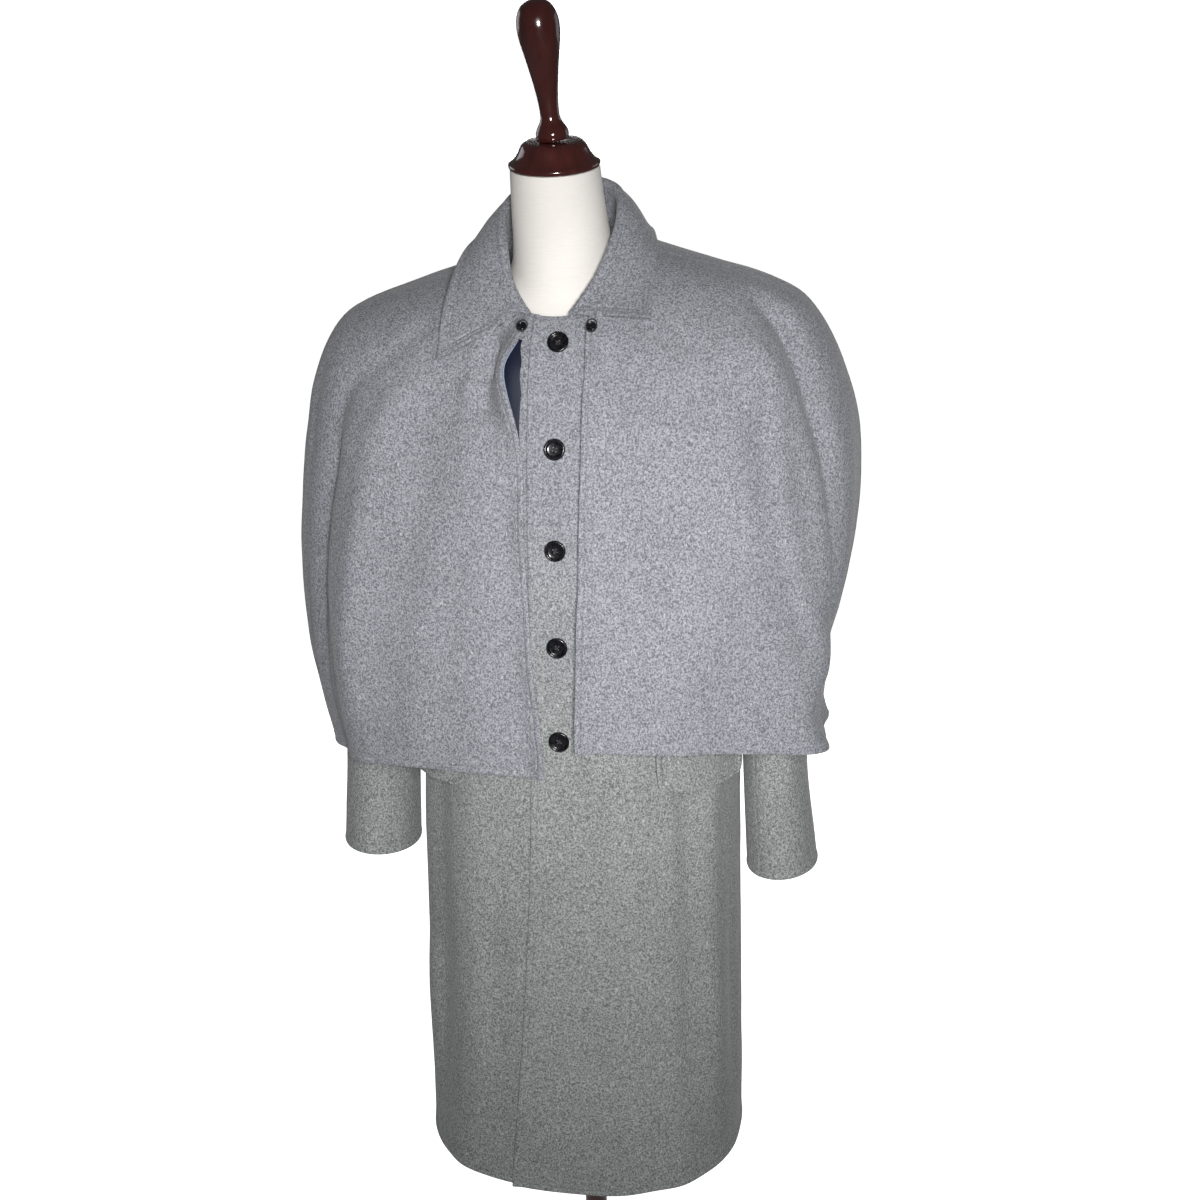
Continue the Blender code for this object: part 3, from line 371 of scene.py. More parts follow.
def front_left_turns(place):
    return turn_at_x(between(COAT, place), -between(LAP, place)), SIDE


def front_right_turns(place):
    return -SIDE, turn_at_x(between(COAT, place), UNDERLAP)


def back_turns(place):
    return SIDE, 3.0 * SIDE


def cape_left_turns(place):
    return turn_at_x(between(CAPE, place), between(CAPE_EDGE_LEFT, place)), CAPE_SEAM


def cape_right_turns(place):
    return -CAPE_SEAM, turn_at_x(between(CAPE, place), -between(CAPE_EDGE_RIGHT, place))


def cape_back_turns(place):
    return CAPE_SEAM, 2.0 * math.pi - CAPE_SEAM


# ---------------------------------------------------------------- fine grids of cloth
# Distances in from a stitched edge where a grid's lines run close together. The first
# line of stitches runs along one of them and the second along another.
NEAR_EDGE = np.array([
    0.0, 0.0008, 0.0020, 0.0035, 0.0050, 0.0060, 0.0070, 0.0085, 0.0105, 0.0120, 0.0135, 0.0160,
])
STITCH_LINES = (5, 9)
X, Y, Z, PLACE, TURN = range(5)


def laid_out(surface, low, high, turns_at, rows=150, columns=240):
    """A grid of a surface, hem first: x, y, z, place and turn at each point."""
    grid = np.empty((rows + 1, columns + 1, 5))
    for row, place in zip(grid, np.linspace(low, high, rows + 1)):
        turns = np.linspace(*turns_at(place), columns + 1)
        row[:, :3] = surface(place, turns)
        row[:, PLACE] = place
        row[:, TURN] = turns
    return grid


def spaced(length, count, start, end):
    """Distances along a line, close together at each stitched end."""
    first = NEAR_EDGE if start else NEAR_EDGE[:1]
    last = length - (NEAR_EDGE if end else NEAR_EDGE[:1])[::-1]
    return np.concatenate([first, np.linspace(first[-1], last[0], count + 1)[1:-1], last])


def even_rows(grid, count, start, end, seams=(0, 0)):
    """Space the points along each row of a grid by their distance, drawn back by half a
    seam's space from each end that meets another piece."""
    rows = []
    for row in grid:
        along = np.concatenate([[0.0], np.cumsum(np.linalg.norm(np.diff(row[:, :3], axis=0), axis=1))])
        first, last = (SEAM * 0.5 * seam for seam in seams)
        wanted = first + spaced(along[-1] - first - last, count, start, end)
        rows.append(np.stack([np.interp(wanted, along, column) for column in row.T], axis=1))
    return np.array(rows)


def even_out(grid, columns, rows, stitched, seams=(0, 0)):
    """Space a grid by distance both ways. stitched names its stitched edges among
    start, end, hem and top, and seams says which of its sides meet another piece."""
    grid = even_rows(grid, columns, "start" in stitched, "end" in stitched, seams)
    grid = even_rows(grid.transpose(1, 0, 2), rows, "hem" in stitched, "top" in stitched)
    return grid.transpose(1, 0, 2)


def edge_distances(grid):
    """How far each point is from the grid's start, end, hem and top edges."""
    across = np.zeros(grid.shape[:2])
    across[:, 1:] = np.cumsum(np.linalg.norm(np.diff(grid[..., :3], axis=1), axis=2), axis=1)
    upward = np.zeros(grid.shape[:2])
    upward[1:] = np.cumsum(np.linalg.norm(np.diff(grid[..., :3], axis=0), axis=2), axis=0)
    return {
        "start": across, "end": across[:, -1:] - across,
        "hem": upward, "top": upward[-1:] - upward,
    }


def outward(grid):
    """Unit normals of a grid, out of its faces."""
    along = np.gradient(grid[..., :3], axis=1)
    upward = np.gradient(grid[..., :3], axis=0)
    normals = np.cross(along, upward)
    return normals / np.maximum(np.linalg.norm(normals, axis=-1, keepdims=True), 1e-12)


def stitch_swell(distance, lines):
    """The welt along a topstitched edge: proud at its rim and sunk along each line."""
    swell = 0.0007 * np.exp(-(((distance - 0.0030) / 0.0019) ** 2))
    for line in lines:
        swell -= 0.0010 * np.exp(-(((distance - NEAR_EDGE[line]) / 0.0009) ** 2))
    return swell


# How much deeper than its table says a ridge or a trough is made.
RIDGE_SHARE, TROUGH_SHARE = 1.7, 1.45
Crease = namedtuple("Crease", "place_a turn_a place_b turn_b bow wide deep")


def crease_depth(creases, grid):
    """How far creases move each point out: ridges above zero, troughs below it."""
    reach = np.hypot(grid[..., X], grid[..., Y])
    depth = np.zeros(grid.shape[:2])
    for order, crease in enumerate(creases):
        t = (grid[..., PLACE] - crease.place_a) / (crease.place_b - crease.place_a)
        inside = (t > 0.0) & (t < 1.0)
        centre = crease.turn_a + (crease.turn_b - crease.turn_a) * t
        centre = centre + crease.bow * np.sin(math.pi * np.clip(t, 0.0, 1.0))
        away = np.radians(from_middle(grid[..., TURN], centre)) * reach
        ends = smooth(0.0, 0.24, t) * smooth(0.0, 0.34, 1.0 - t)
        uneven = 1.0 + 0.22 * np.sin(8.3 * t + order * 1.7) + 0.12 * np.sin(19.0 * t + order)
        bell = np.exp(-((away / (crease.wide * (0.75 + 0.5 * t))) ** 2))
        deep = crease.deep * (RIDGE_SHARE if crease.deep > 0 else TROUGH_SHARE)
        depth += np.where(inside, deep * ends * uneven * bell, 0.0)
    return depth


def softness(grid, height, size):
    """The slight unevenness of a heavy cloth that hangs free."""
    flat = grid[..., :3].reshape(-1, 3) / size
    values = [noise.noise(Vector(point)) + 0.4 * noise.noise(Vector(point * 2.3)) for point in flat]
    return height * np.array(values).reshape(grid.shape[:2])


def shaped(grid, creases=(), stitched=(), lines=STITCH_LINES[:1], ripple=0.0, size=0.11, lips=()):
    """A grid with its creases, unevenness, stitched welts and edges that stand off."""
    depth = crease_depth(creases, grid)
    for edge, height, wide in lips:
        uneven = 0.8 + 0.2 * np.sin(grid[..., PLACE] * 2.1)
        depth = depth + height * uneven * np.exp(-((edge_distances(grid)[edge] / wide) ** 2))
    if ripple:
        depth = depth + softness(grid, ripple, size)
    if stitched:
        distances = edge_distances(grid)
        near = np.minimum.reduce([distances[edge] for edge in stitched])
        depth = depth + stitch_swell(near, lines)
    result = grid.copy()
    result[..., :3] += outward(grid) * depth[..., None]
    return result


# ---------------------------------------------------------------- making pieces
def select_only(obj):
    """Make one object the selected and active one, in object mode."""
    if bpy.context.mode != "OBJECT":
        bpy.ops.object.mode_set(mode="OBJECT")
    bpy.ops.object.select_all(action="DESELECT")
    obj.select_set(True)
    bpy.context.view_layer.objects.active = obj


def apply_all(obj):
    """Apply an object's modifiers in order."""
    select_only(obj)
    for name in [modifier.name for modifier in obj.modifiers]:
        bpy.ops.object.modifier_apply(modifier=name)


def grid_mesh(name, grid, material):
    """A mesh of a grid, rows upward and columns towards the wearer's left."""
    rows, columns = grid.shape[:2]
    index = np.arange(rows * columns).reshape(rows, columns)
    faces = np.stack([index[:-1, :-1], index[:-1, 1:], index[1:, 1:], index[1:, :-1]], axis=-1)
    mesh = bpy.data.meshes.new(name)
    mesh.from_pydata(grid[..., :3].reshape(-1, 3).tolist(), [], faces.reshape(-1, 4).tolist())
    mesh.materials.append(material)
    obj = bpy.data.objects.new(name, mesh)
    bpy.context.scene.collection.objects.link(obj)
    return obj


def walled(obj, wall, side=1.0, rim=0.0009):
    """Give a sheet its wall and soft round edges, then shade it smooth."""
    solidify = obj.modifiers.new("wall", "SOLIDIFY")
    solidify.thickness = wall
    solidify.offset = side
    solidify.use_even_offset = False
    bevel = obj.modifiers.new("rim", "BEVEL")
    bevel.width = rim
    bevel.segments = 2
    bevel.limit_method = "ANGLE"
    bevel.angle_limit = math.radians(60)
    apply_all(obj)
    obj.data.shade_smooth()
    return obj


def placed(obj, slot, *nodes):
    """Ride a finished piece on the part and let it stand for its solids."""
    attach(obj, "root")
    if nodes:
        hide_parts(*nodes)
    return obj


def tree_of(obj):
    return BVHTree.FromObject(obj, bpy.context.evaluated_depsgraph_get())


# ---------------------------------------------------------------- topstitching
THREADS = {}


def stitch_line(grid, edge, wall, line=STITCH_LINES[0], skip=(None, None)):
    """Points and normals along a line of stitches beside one edge of a shaped grid."""
    normals = outward(grid)
    points = grid[..., :3] + normals * wall
    pick = {
        "start": (slice(*skip), line), "end": (slice(*skip), -1 - line),
        "hem": (line, slice(*skip)), "top": (-1 - line, slice(*skip)),
    }[edge]
    return points[pick], normals[pick]


def add_stitches(group, points, normals, pitch=0.0036, length=0.0027, thick=0.00038):
    """Lay a row of thread stitches along a line, their ends sunk in the cloth."""
    along = np.concatenate([[0.0], np.cumsum(np.linalg.norm(np.diff(points, axis=0), axis=1))])
    middles = np.arange(pitch * 0.6, along[-1] - pitch * 0.5, pitch)
    verts, faces = THREADS.setdefault(group, ([], []))
    for middle in middles:
        base = len(verts)
        spot = np.array([np.interp(middle, along, column) for column in points.T])
        normal = np.array([np.interp(middle, along, column) for column in normals.T])
        ahead = np.array([np.interp(middle + 0.001, along, column) for column in points.T]) - spot
        ahead /= np.linalg.norm(ahead)
        aside = np.cross(normal, ahead)
        aside /= np.linalg.norm(aside)
        normal = np.cross(ahead, aside)
        for share, size, lift in ((-0.5, 0.5, -0.9), (-0.3, 1.0, 0.1), (0.3, 1.0, 0.1), (0.5, 0.5, -0.9)):
            for k in range(6):
                angle = k * math.pi / 3.0
                offset = aside * math.cos(angle) * size + normal * (math.sin(angle) * size + lift)
                verts.append(tuple(spot + ahead * share * length + offset * thick))
        for ring in range(3):
            for k in range(6):
                a, b = base + ring * 6 + k, base + ring * 6 + (k + 1) % 6
                faces.append((a, a + 6, b + 6, b))
        faces.append(tuple(base + k for k in range(6)))
        faces.append(tuple(base + 18 + k for k in reversed(range(6))))


def sew(group, name, material):
    """Make the stitches gathered for a group one piece."""
    verts, faces = THREADS.pop(group)
    mesh = bpy.data.meshes.new(name)
    mesh.from_pydata(verts, [], faces)
    mesh.materials.append(material)
    obj = bpy.data.objects.new(name, mesh)
    bpy.context.scene.collection.objects.link(obj)
    select_only(obj)
    bpy.ops.object.mode_set(mode="EDIT")
    bpy.ops.mesh.select_all(action="SELECT")
    bpy.ops.mesh.normals_make_consistent(inside=False)
    bpy.ops.object.mode_set(mode="OBJECT")
    obj.data.shade_smooth()
    return placed(obj, "wool")


# ---------------------------------------------------------------- finishes
def group_start(name, inputs, outputs):
    """A shader node group with named sockets, and its input and output nodes."""
    group = bpy.data.node_groups.new(name, "ShaderNodeTree")
    for label, kind, value in inputs:
        socket = group.interface.new_socket(name=label, in_out="INPUT", socket_type=kind)
        socket.default_value = value
    for label, kind in outputs:
        group.interface.new_socket(name=label, in_out="OUTPUT", socket_type=kind)
    start = group.nodes.new("NodeGroupInput")
    end = group.nodes.new("NodeGroupOutput")
    start.location = (-1300, 0)
    end.location = (500, 0)
    return group, start, end


class Wiring:
    """Adds nodes to a tree in a column and links them by name."""

    def __init__(self, tree):
        self.tree = tree
        self.count = 0

    def node(self, kind, links=(), **values):
        made = self.tree.nodes.new(kind)
        made.location = (-1000 + 190 * (self.count % 7), 300 - 240 * (self.count // 7))
        self.count += 1
        for key, value in values.items():
            if hasattr(made, key):
                setattr(made, key, value)
            else:
                made.inputs[key.replace("_", " ")].default_value = value
        for target, source in dict(links).items():
            self.tree.links.new(source, made.inputs[target])
        return made

    def math(self, operation, first, second=None):
        made = self.node("ShaderNodeMath", operation=operation)
        for socket, value in zip(made.inputs, (first, second)):
            if value is None:
                continue
            if isinstance(value, (int, float)):
                socket.default_value = value
            else:
                self.tree.links.new(value, socket)
        return made.outputs[0]

    def noise(self, vector, scale, detail=2.0, roughness=0.5):
        made = self.node("ShaderNodeTexNoise", {"Vector": vector}, Scale=scale, Detail=detail)
        made.inputs["Roughness"].default_value = roughness
        return made.outputs["Fac"]

    def mix(self, factor, first, second, blend="MIX"):
        made = self.tree.nodes.new("ShaderNodeMix")
        made.location = (-1000 + 190 * (self.count % 7), 300 - 240 * (self.count // 7))
        self.count += 1
        made.data_type = "RGBA"
        made.blend_type = blend
        for socket, value in ((made.inputs[0], factor), (made.inputs[6], first), (made.inputs[7], second)):
            if isinstance(value, (int, float, tuple)):
                socket.default_value = value
            else:
                self.tree.links.new(value, socket)
        return made.outputs[2]

    def stretched(self, vector, scale):
        made = self.node("ShaderNodeMapping", {"Vector": vector})
        made.inputs["Scale"].default_value = scale
        return made.outputs[0]

    def step(self, value, low, high, start=0.0, end=1.0):
        made = self.node("ShaderNodeMapRange", {"Value": value})
        for socket, number in zip(made.inputs[1:5], (low, high, start, end)):
            socket.default_value = number
        return made.outputs[0]


def heather_group():
    """Dark and light fibres milled together: a colour and a height for the nap."""
    group, start, end = group_start(
        "Heather fibres",
        [("Dark", "NodeSocketColor", (0.1, 0.1, 0.1, 1.0)),
         ("Light", "NodeSocketColor", (0.5, 0.5, 0.5, 1.0)),
         ("Fleck", "NodeSocketFloat", 330.0)],
        [("Color", "NodeSocketColor"), ("Height", "NodeSocketFloat")],
    )
    wire = Wiring(group)
    place = wire.node("ShaderNodeTexCoord").outputs["Object"]
    warp = wire.node("ShaderNodeTexNoise", {"Vector": place}, Scale=140.0, Detail=1.0).outputs["Color"]
    bent = wire.node("ShaderNodeVectorMath", operation="SCALE")
    wire.tree.links.new(warp, bent.inputs[0])
    bent.inputs["Scale"].default_value = 0.004
    curled = wire.node("ShaderNodeVectorMath", operation="ADD")
    wire.tree.links.new(place, curled.inputs[0])
    wire.tree.links.new(bent.outputs[0], curled.inputs[1])
    curled = curled.outputs[0]
    fleck = wire.node("ShaderNodeTexNoise", {"Vector": curled, "Scale": start.outputs["Fleck"]}, Detail=3.0)
    fleck.inputs["Roughness"].default_value = 0.62
    fleck = fleck.outputs["Fac"]
    fine = wire.noise(place, 1250.0, 2.0, 0.6)
    slant = wire.stretched(curled, (1.0, 1.0, 0.35))
    fibre = wire.noise(slant, 900.0, 2.0, 0.55)
    cloud = wire.noise(place, 7.0, 3.0, 0.5)
    mixed = wire.math("ADD", wire.math("MULTIPLY", fleck, 0.62), wire.math("MULTIPLY", fine, 0.14))
    mixed = wire.math("ADD", mixed, wire.math("MULTIPLY", fibre, 0.24))
    level = wire.step(mixed, 0.425, 0.575)
    colour = wire.mix(level, start.outputs["Dark"], start.outputs["Light"])
    pale = wire.step(wire.noise(slant, 520.0, 1.0, 0.4), 0.66, 0.74, 0.0, 0.42)
    colour = wire.mix(pale, colour, (0.62, 0.64, 0.66, 1.0))
    shade = wire.step(cloud, 0.3, 0.7, 0.94, 1.05)
    shaded = wire.node("ShaderNodeVectorMath", operation="SCALE")
    wire.tree.links.new(colour, shaded.inputs[0])
    wire.tree.links.new(shade, shaded.inputs["Scale"])
    wire.tree.links.new(shaded.outputs[0], end.inputs["Color"])
    height = wire.math("ADD", wire.math("MULTIPLY", fleck, 0.6), wire.math("MULTIPLY", fine, 0.4))
    wire.tree.links.new(height, end.inputs["Height"])
    return group


def weave_group():
    """A plain weave of round threads, with slubs: a mask and a height."""
    group, start, end = group_start(
        "Plain weave",
        [("Threads", "NodeSocketFloat", 900.0)],
        [("Mask", "NodeSocketFloat"), ("Height", "NodeSocketFloat")],
    )
    wire = Wiring(group)
    place = wire.node("ShaderNodeTexCoord").outputs["Object"]
    apart = wire.node("ShaderNodeSeparateXYZ", {"Vector": place})
    turn = wire.math("ARCTAN2", apart.outputs["X"], apart.outputs["Y"])
    round_way = wire.math("MULTIPLY", wire.math("MULTIPLY", turn, 0.10), start.outputs["Threads"])
    up_way = wire.math("MULTIPLY", apart.outputs["Z"], start.outputs["Threads"])
    warp = wire.math("ABSOLUTE", wire.math("SINE", wire.math("MULTIPLY", round_way, math.pi)))
    weft = wire.math("ABSOLUTE", wire.math("SINE", wire.math("MULTIPLY", up_way, math.pi)))
    cross = wire.math("MAXIMUM", warp, weft)
    slub = wire.noise(wire.stretched(place, (60.0, 60.0, 900.0)), 1.0, 2.0, 0.6)
    height = wire.math("ADD", wire.math("MULTIPLY", cross, 0.7), wire.math("MULTIPLY", slub, 0.6))
    cloud = wire.noise(place, 14.0, 4.0, 0.6)
    mask = wire.math("ADD", wire.math("MULTIPLY", slub, 0.6), wire.math("MULTIPLY", cloud, 0.4))
    wire.tree.links.new(mask, end.inputs["Mask"])
    wire.tree.links.new(height, end.inputs["Height"])
    return group


def wear_group():
    """Soft handling marks and dust: masks for colour and for roughness."""
    group, start, end = group_start(
        "Handling marks",
        [("Size", "NodeSocketFloat", 30.0)],
        [("Marks", "NodeSocketFloat"), ("Grain", "NodeSocketFloat")],
    )
    wire = Wiring(group)
    place = wire.node("ShaderNodeTexCoord").outputs["Object"]
    marks = wire.node("ShaderNodeTexNoise", {"Vector": place, "Scale": start.outputs["Size"]}, Detail=5.0)
    grain = wire.noise(wire.stretched(place, (90.0, 90.0, 6.0)), 1.0, 3.0, 0.6)
    wire.tree.links.new(wire.step(marks.outputs["Fac"], 0.38, 0.68), end.inputs["Marks"])
    wire.tree.links.new(grain, end.inputs["Grain"])
    return group


def shader(name, roughness, **constants):
    """A material whose constant numbers sit on its own shader."""
    material = bpy.data.materials.new(name)
    material.use_nodes = True
    bsdf = material.node_tree.nodes["Principled BSDF"]
    bsdf.inputs["Roughness"].default_value = roughness
    for label, value in constants.items():
        bsdf.inputs[label.replace("_", " ")].default_value = value
    return material, bsdf, Wiring(material.node_tree)


def bumped(wire, bsdf, height, strength, distance):
    bump = wire.node("ShaderNodeBump", {"Height": height}, Strength=strength, Distance=distance)
    wire.tree.links.new(bump.outputs[0], bsdf.inputs["Normal"])


def place_group(wire, name, **values):
    made = wire.node("ShaderNodeGroup", node_tree=bpy.data.node_groups[name])
    for label, value in values.items():
        made.inputs[label].default_value = value
    return made


def wool_finish(name, dark, light, upper=None, fleck=470.0):
    """Melton wool: mottled, matte, with a short nap. Towards the shoulders it turns to the
    upper pair of colours, where one is given."""
    material, bsdf, wire = shader(
        name, 0.95, Sheen_Weight=0.16, Sheen_Roughness=0.45, Specular_IOR_Level=0.18,
    )
    fibres = place_group(wire, "Heather fibres", Dark=(*dark, 1.0), Light=(*light, 1.0), Fleck=fleck)
    if upper:
        place = wire.node("ShaderNodeTexCoord").outputs["Object"]
        height = wire.node("ShaderNodeSeparateXYZ", {"Vector": place}).outputs["Z"]
        share = wire.step(height, 0.92, 1.20)
        for label, low, high in (("Dark", dark, upper[0]), ("Light", light, upper[1])):
            blend = wire.mix(share, (*low, 1.0), (*high, 1.0))
            wire.tree.links.new(blend, fibres.inputs[label])
    wire.tree.links.new(fibres.outputs["Color"], bsdf.inputs["Base Color"])
    rough = wire.step(fibres.outputs["Height"], 0.3, 0.7, 0.88, 1.0)
    wire.tree.links.new(rough, bsdf.inputs["Roughness"])
    bumped(wire, bsdf, fibres.outputs["Height"], 0.5, 0.0009)
    return material


def lining_finish(name, dark, light):
    """A smooth twill lining with a faint sheen."""
    material, bsdf, wire = shader(name, 0.6, Sheen_Weight=0.03, Specular_IOR_Level=0.25)
    weave = place_group(wire, "Plain weave", Threads=1300.0)
    colour = wire.mix(weave.outputs["Mask"], (*dark, 1.0), (*light, 1.0))
    wire.tree.links.new(colour, bsdf.inputs["Base Color"])
    bumped(wire, bsdf, weave.outputs["Height"], 0.25, 0.0003)
    return material


def linen_finish():
    """Tight cream linen over a padded form."""
    material, bsdf, wire = shader("Cream linen", 0.85, Sheen_Weight=0.1, Specular_IOR_Level=0.25)
    weave = place_group(wire, "Plain weave", Threads=620.0)
    marks = place_group(wire, "Handling marks", Size=18.0)
    colour = wire.mix(weave.outputs["Mask"], (0.70, 0.67, 0.635, 1.0), (0.84, 0.815, 0.78, 1.0))
    faint = wire.math("MULTIPLY", marks.outputs["Marks"], 0.10)
    colour = wire.mix(faint, colour, (0.55, 0.52, 0.50, 1.0))
    wire.tree.links.new(colour, bsdf.inputs["Base Color"])
    bumped(wire, bsdf, weave.outputs["Height"], 0.3, 0.0005)
    return material


def lacquer_finish():
    """Dark red-brown wood under thick gloss lacquer."""
    material, bsdf, wire = shader("Dark lacquer", 0.16, Coat_Weight=0.7, Coat_Roughness=0.06)
    marks = place_group(wire, "Handling marks", Size=42.0)
    colour = wire.mix(marks.outputs["Grain"], (0.020, 0.0045, 0.0045, 1.0), (0.070, 0.015, 0.012, 1.0))
    wire.tree.links.new(colour, bsdf.inputs["Base Color"])
    wire.tree.links.new(wire.step(marks.outputs["Marks"], 0.0, 1.0, 0.12, 0.27), bsdf.inputs["Roughness"])
    bumped(wire, bsdf, marks.outputs["Marks"], 0.04, 0.0006)
    return material


def horn_finish():
    """Black button resin, polished on its rim and finer inside the dish."""
    material, bsdf, wire = shader(
        "Black button resin", 0.28, Coat_Weight=0.3, Coat_Roughness=0.1, Specular_IOR_Level=0.3,
    )
    marks = place_group(wire, "Handling marks", Size=260.0)
    colour = wire.mix(marks.outputs["Marks"], (0.0025, 0.0025, 0.0035, 1.0), (0.010, 0.010, 0.013, 1.0))
    wire.tree.links.new(colour, bsdf.inputs["Base Color"])
    wire.tree.links.new(wire.step(marks.outputs["Marks"], 0.0, 1.0, 0.22, 0.36), bsdf.inputs["Roughness"])
    bumped(wire, bsdf, marks.outputs["Marks"], 0.05, 0.0002)
    return material


def thread_finish(name, dark, light):
    """Twisted sewing thread."""
    material, bsdf, wire = shader(name, 0.8, Sheen_Weight=0.2)
    weave = place_group(wire, "Plain weave", Threads=2600.0)
    colour = wire.mix(weave.outputs["Mask"], (*dark, 1.0), (*light, 1.0))
    wire.tree.links.new(colour, bsdf.inputs["Base Color"])
    bumped(wire, bsdf, weave.outputs["Height"], 0.3, 0.0002)
    return material


def floor_finish():
    """A plain pale studio floor with the faintest unevenness."""
    material, bsdf, wire = shader("Pale floor", 0.9, Specular_IOR_Level=0.1)
    marks = place_group(wire, "Handling marks", Size=0.6)
    colour = wire.mix(marks.outputs["Marks"], (0.86, 0.86, 0.86, 1.0), (0.89, 0.89, 0.89, 1.0))
    wire.tree.links.new(colour, bsdf.inputs["Base Color"])
    bsdf.inputs["Emission Color"].default_value = (1.0, 1.0, 1.0, 1.0)
    sight = wire.node("ShaderNodeLightPath").outputs["Is Camera Ray"]
    wire.tree.links.new(wire.math("MULTIPLY", sight, 0.98), bsdf.inputs["Emission Strength"])
    return material


FINISH = {}


def mix_finishes(colours):
    """Make every finish once."""
    heather_group()
    weave_group()
    wear_group()
    FINISH["cape"] = wool_finish("Cape wool", colours.cape_dark, colours.cape_light)
    cape = (colours.cape_dark, colours.cape_light)
    FINISH["coat"] = wool_finish("Coat wool", colours.coat_dark, colours.coat_light, cape)
    # The lining is navy, darkened to near-black as painted shade for the hollow behind the curled cape edge.
    FINISH["lining"] = lining_finish("Navy lining with painted shade", (0.004, 0.006, 0.015), (0.012, 0.017, 0.040))
    # The turned edge's pale blue is a painted highlight on the same dark navy lining.
    FINISH["turned"] = lining_finish("Lining edge with painted highlight", (0.16, 0.22, 0.32), (0.30, 0.38, 0.50))
    FINISH["linen"] = linen_finish()
    FINISH["lacquer"] = lacquer_finish()
    FINISH["horn"] = horn_finish()
    FINISH["thread"] = thread_finish("Grey topstitch thread", (0.15, 0.155, 0.16), (0.34, 0.35, 0.36))
    FINISH["black thread"] = thread_finish("Black button thread", (0.006, 0.006, 0.007), (0.03, 0.03, 0.035))
    FINISH["floor"] = floor_finish()


# ---------------------------------------------------------------- the creases
# Each runs from one place and turn to another (places as its table counts them, turns in
# degrees from the front to the wearer's left), bows sideways on its way, is so wide in
# metres and stands out or sinks in so deep, before RIDGE_SHARE or TROUGH_SHARE.
CAPE_RIGHT_CREASES = [
    Crease(0.8, -31, 4.1, -12, 3.0, 0.0090, -0.0078),
    Crease(1.3, -36, 3.6, -20, 3.0, 0.0120, 0.0036),
    Crease(2.2, -34, 6.2, -27, -1.5, 0.0160, -0.0030),
    Crease(4.8, -26, 12.9, -36, 2.5, 0.0160, -0.0026),
    Crease(5.8, -24, 12.9, -31, 1.5, 0.0240, 0.0030),
    Crease(2.6, -38, 12.95, -48, 3.0, 0.0210, 0.0064),
    Crease(3.2, -54, 12.2, -64, 2.0, 0.0260, -0.0074),
    Crease(6.8, -15, 12.9, -19, -1.0, 0.0170, -0.0022),
    Crease(4.4, -72, 12.4, -79, 3.0, 0.0180, -0.0034),
    Crease(1.6, -58, 5.2, -50, 2.0, 0.0150, -0.0016),
    Crease(8.6, -53, 12.9, -55, 1.0, 0.0120, -0.0022),
]
CAPE_LEFT_CREASES = [
    Crease(0.8, 18, 4.2, 13, 1.0, 0.0080, -0.0022),
    Crease(2.4, 80, 11.8, 94, -27.0, 0.0280, -0.0128),
    Crease(2.6, 62, 12.95, 86, -29.0, 0.0240, 0.0105),
    Crease(4.6, 22, 12.9, 27, 1.5, 0.0230, 0.0028),
    Crease(5.4, 12, 12.9, 16, -1.0, 0.0180, -0.0022),
    Crease(3.2, 33, 12.9, 42, 2.0, 0.0210, -0.0026),
    Crease(7.6, 62, 12.9, 66, 2.0, 0.0170, -0.0034),
    Crease(3.0, 30, 6.8, 37, 2.0, 0.0200, -0.0032),
    Crease(0.7, 40, 3.4, 48, -2.0, 0.0130, -0.0014),
]
CAPE_BACK_CREASES = [
    Crease(2.6, 118, 12.9, 124, 2.0, 0.0220, 0.0044),
    Crease(3.8, 131, 12.9, 134, -2.0, 0.0170, -0.0038),
    Crease(2.0, 152, 12.9, 149, 3.0, 0.0250, 0.0038),
    Crease(4.6, 164, 12.7, 160, 2.0, 0.0150, -0.0034),
    Crease(2.8, 181, 12.9, 184, -2.5, 0.0260, 0.0046),
    Crease(5.2, 196, 12.9, 203, 2.0, 0.0160, -0.0040),
    Crease(2.2, 214, 12.9, 219, -3.0, 0.0230, 0.0036),
    Crease(4.0, 233, 12.9, 236, 1.0, 0.0180, -0.0036),
    Crease(5.6, 251, 12.9, 249, 2.0, 0.0200, 0.0034),
    Crease(6.4, 104, 12.9, 103, 1.0, 0.0160, -0.0026),
]
COAT_RIGHT_CREASES = [
    Crease(6.0, -30, 0.1, -33, 2.0, 0.0260, 0.0030),
    Crease(5.0, -46, 0.1, -52, -2.0, 0.0200, -0.0032),
    Crease(4.4, -66, 0.1, -70, 2.0, 0.0230, 0.0034),
    Crease(3.2, -22, 0.1, -24, 1.0, 0.0180, -0.0020),
    Crease(3.0, -80, 0.1, -84, 0.0, 0.0160, -0.0026),
    Crease(2.4, -57, 0.1, -60, 1.0, 0.0130, -0.0018),
]
COAT_LEFT_CREASES = [
    Crease(6.0, 24, 0.1, 21, -2.0, 0.0300, 0.0032),
    Crease(4.6, 40, 0.1, 42, 3.0, 0.0210, -0.0034),
    Crease(5.0, 58, 0.1, 62, -2.0, 0.0240, 0.0036),
    Crease(3.6, 7, 0.1, 5, 1.5, 0.0200, -0.0020),
    Crease(3.2, 74, 0.1, 77, 2.0, 0.0170, -0.0028),
    Crease(2.0, 31, 0.1, 32, -1.0, 0.0140, -0.0016),
    Crease(9.8, 6, 6.6, 8, 3.0, 0.0110, -0.0014),
    Crease(8.6, -4, 7.4, 12, 1.0, 0.0090, -0.0012),
]
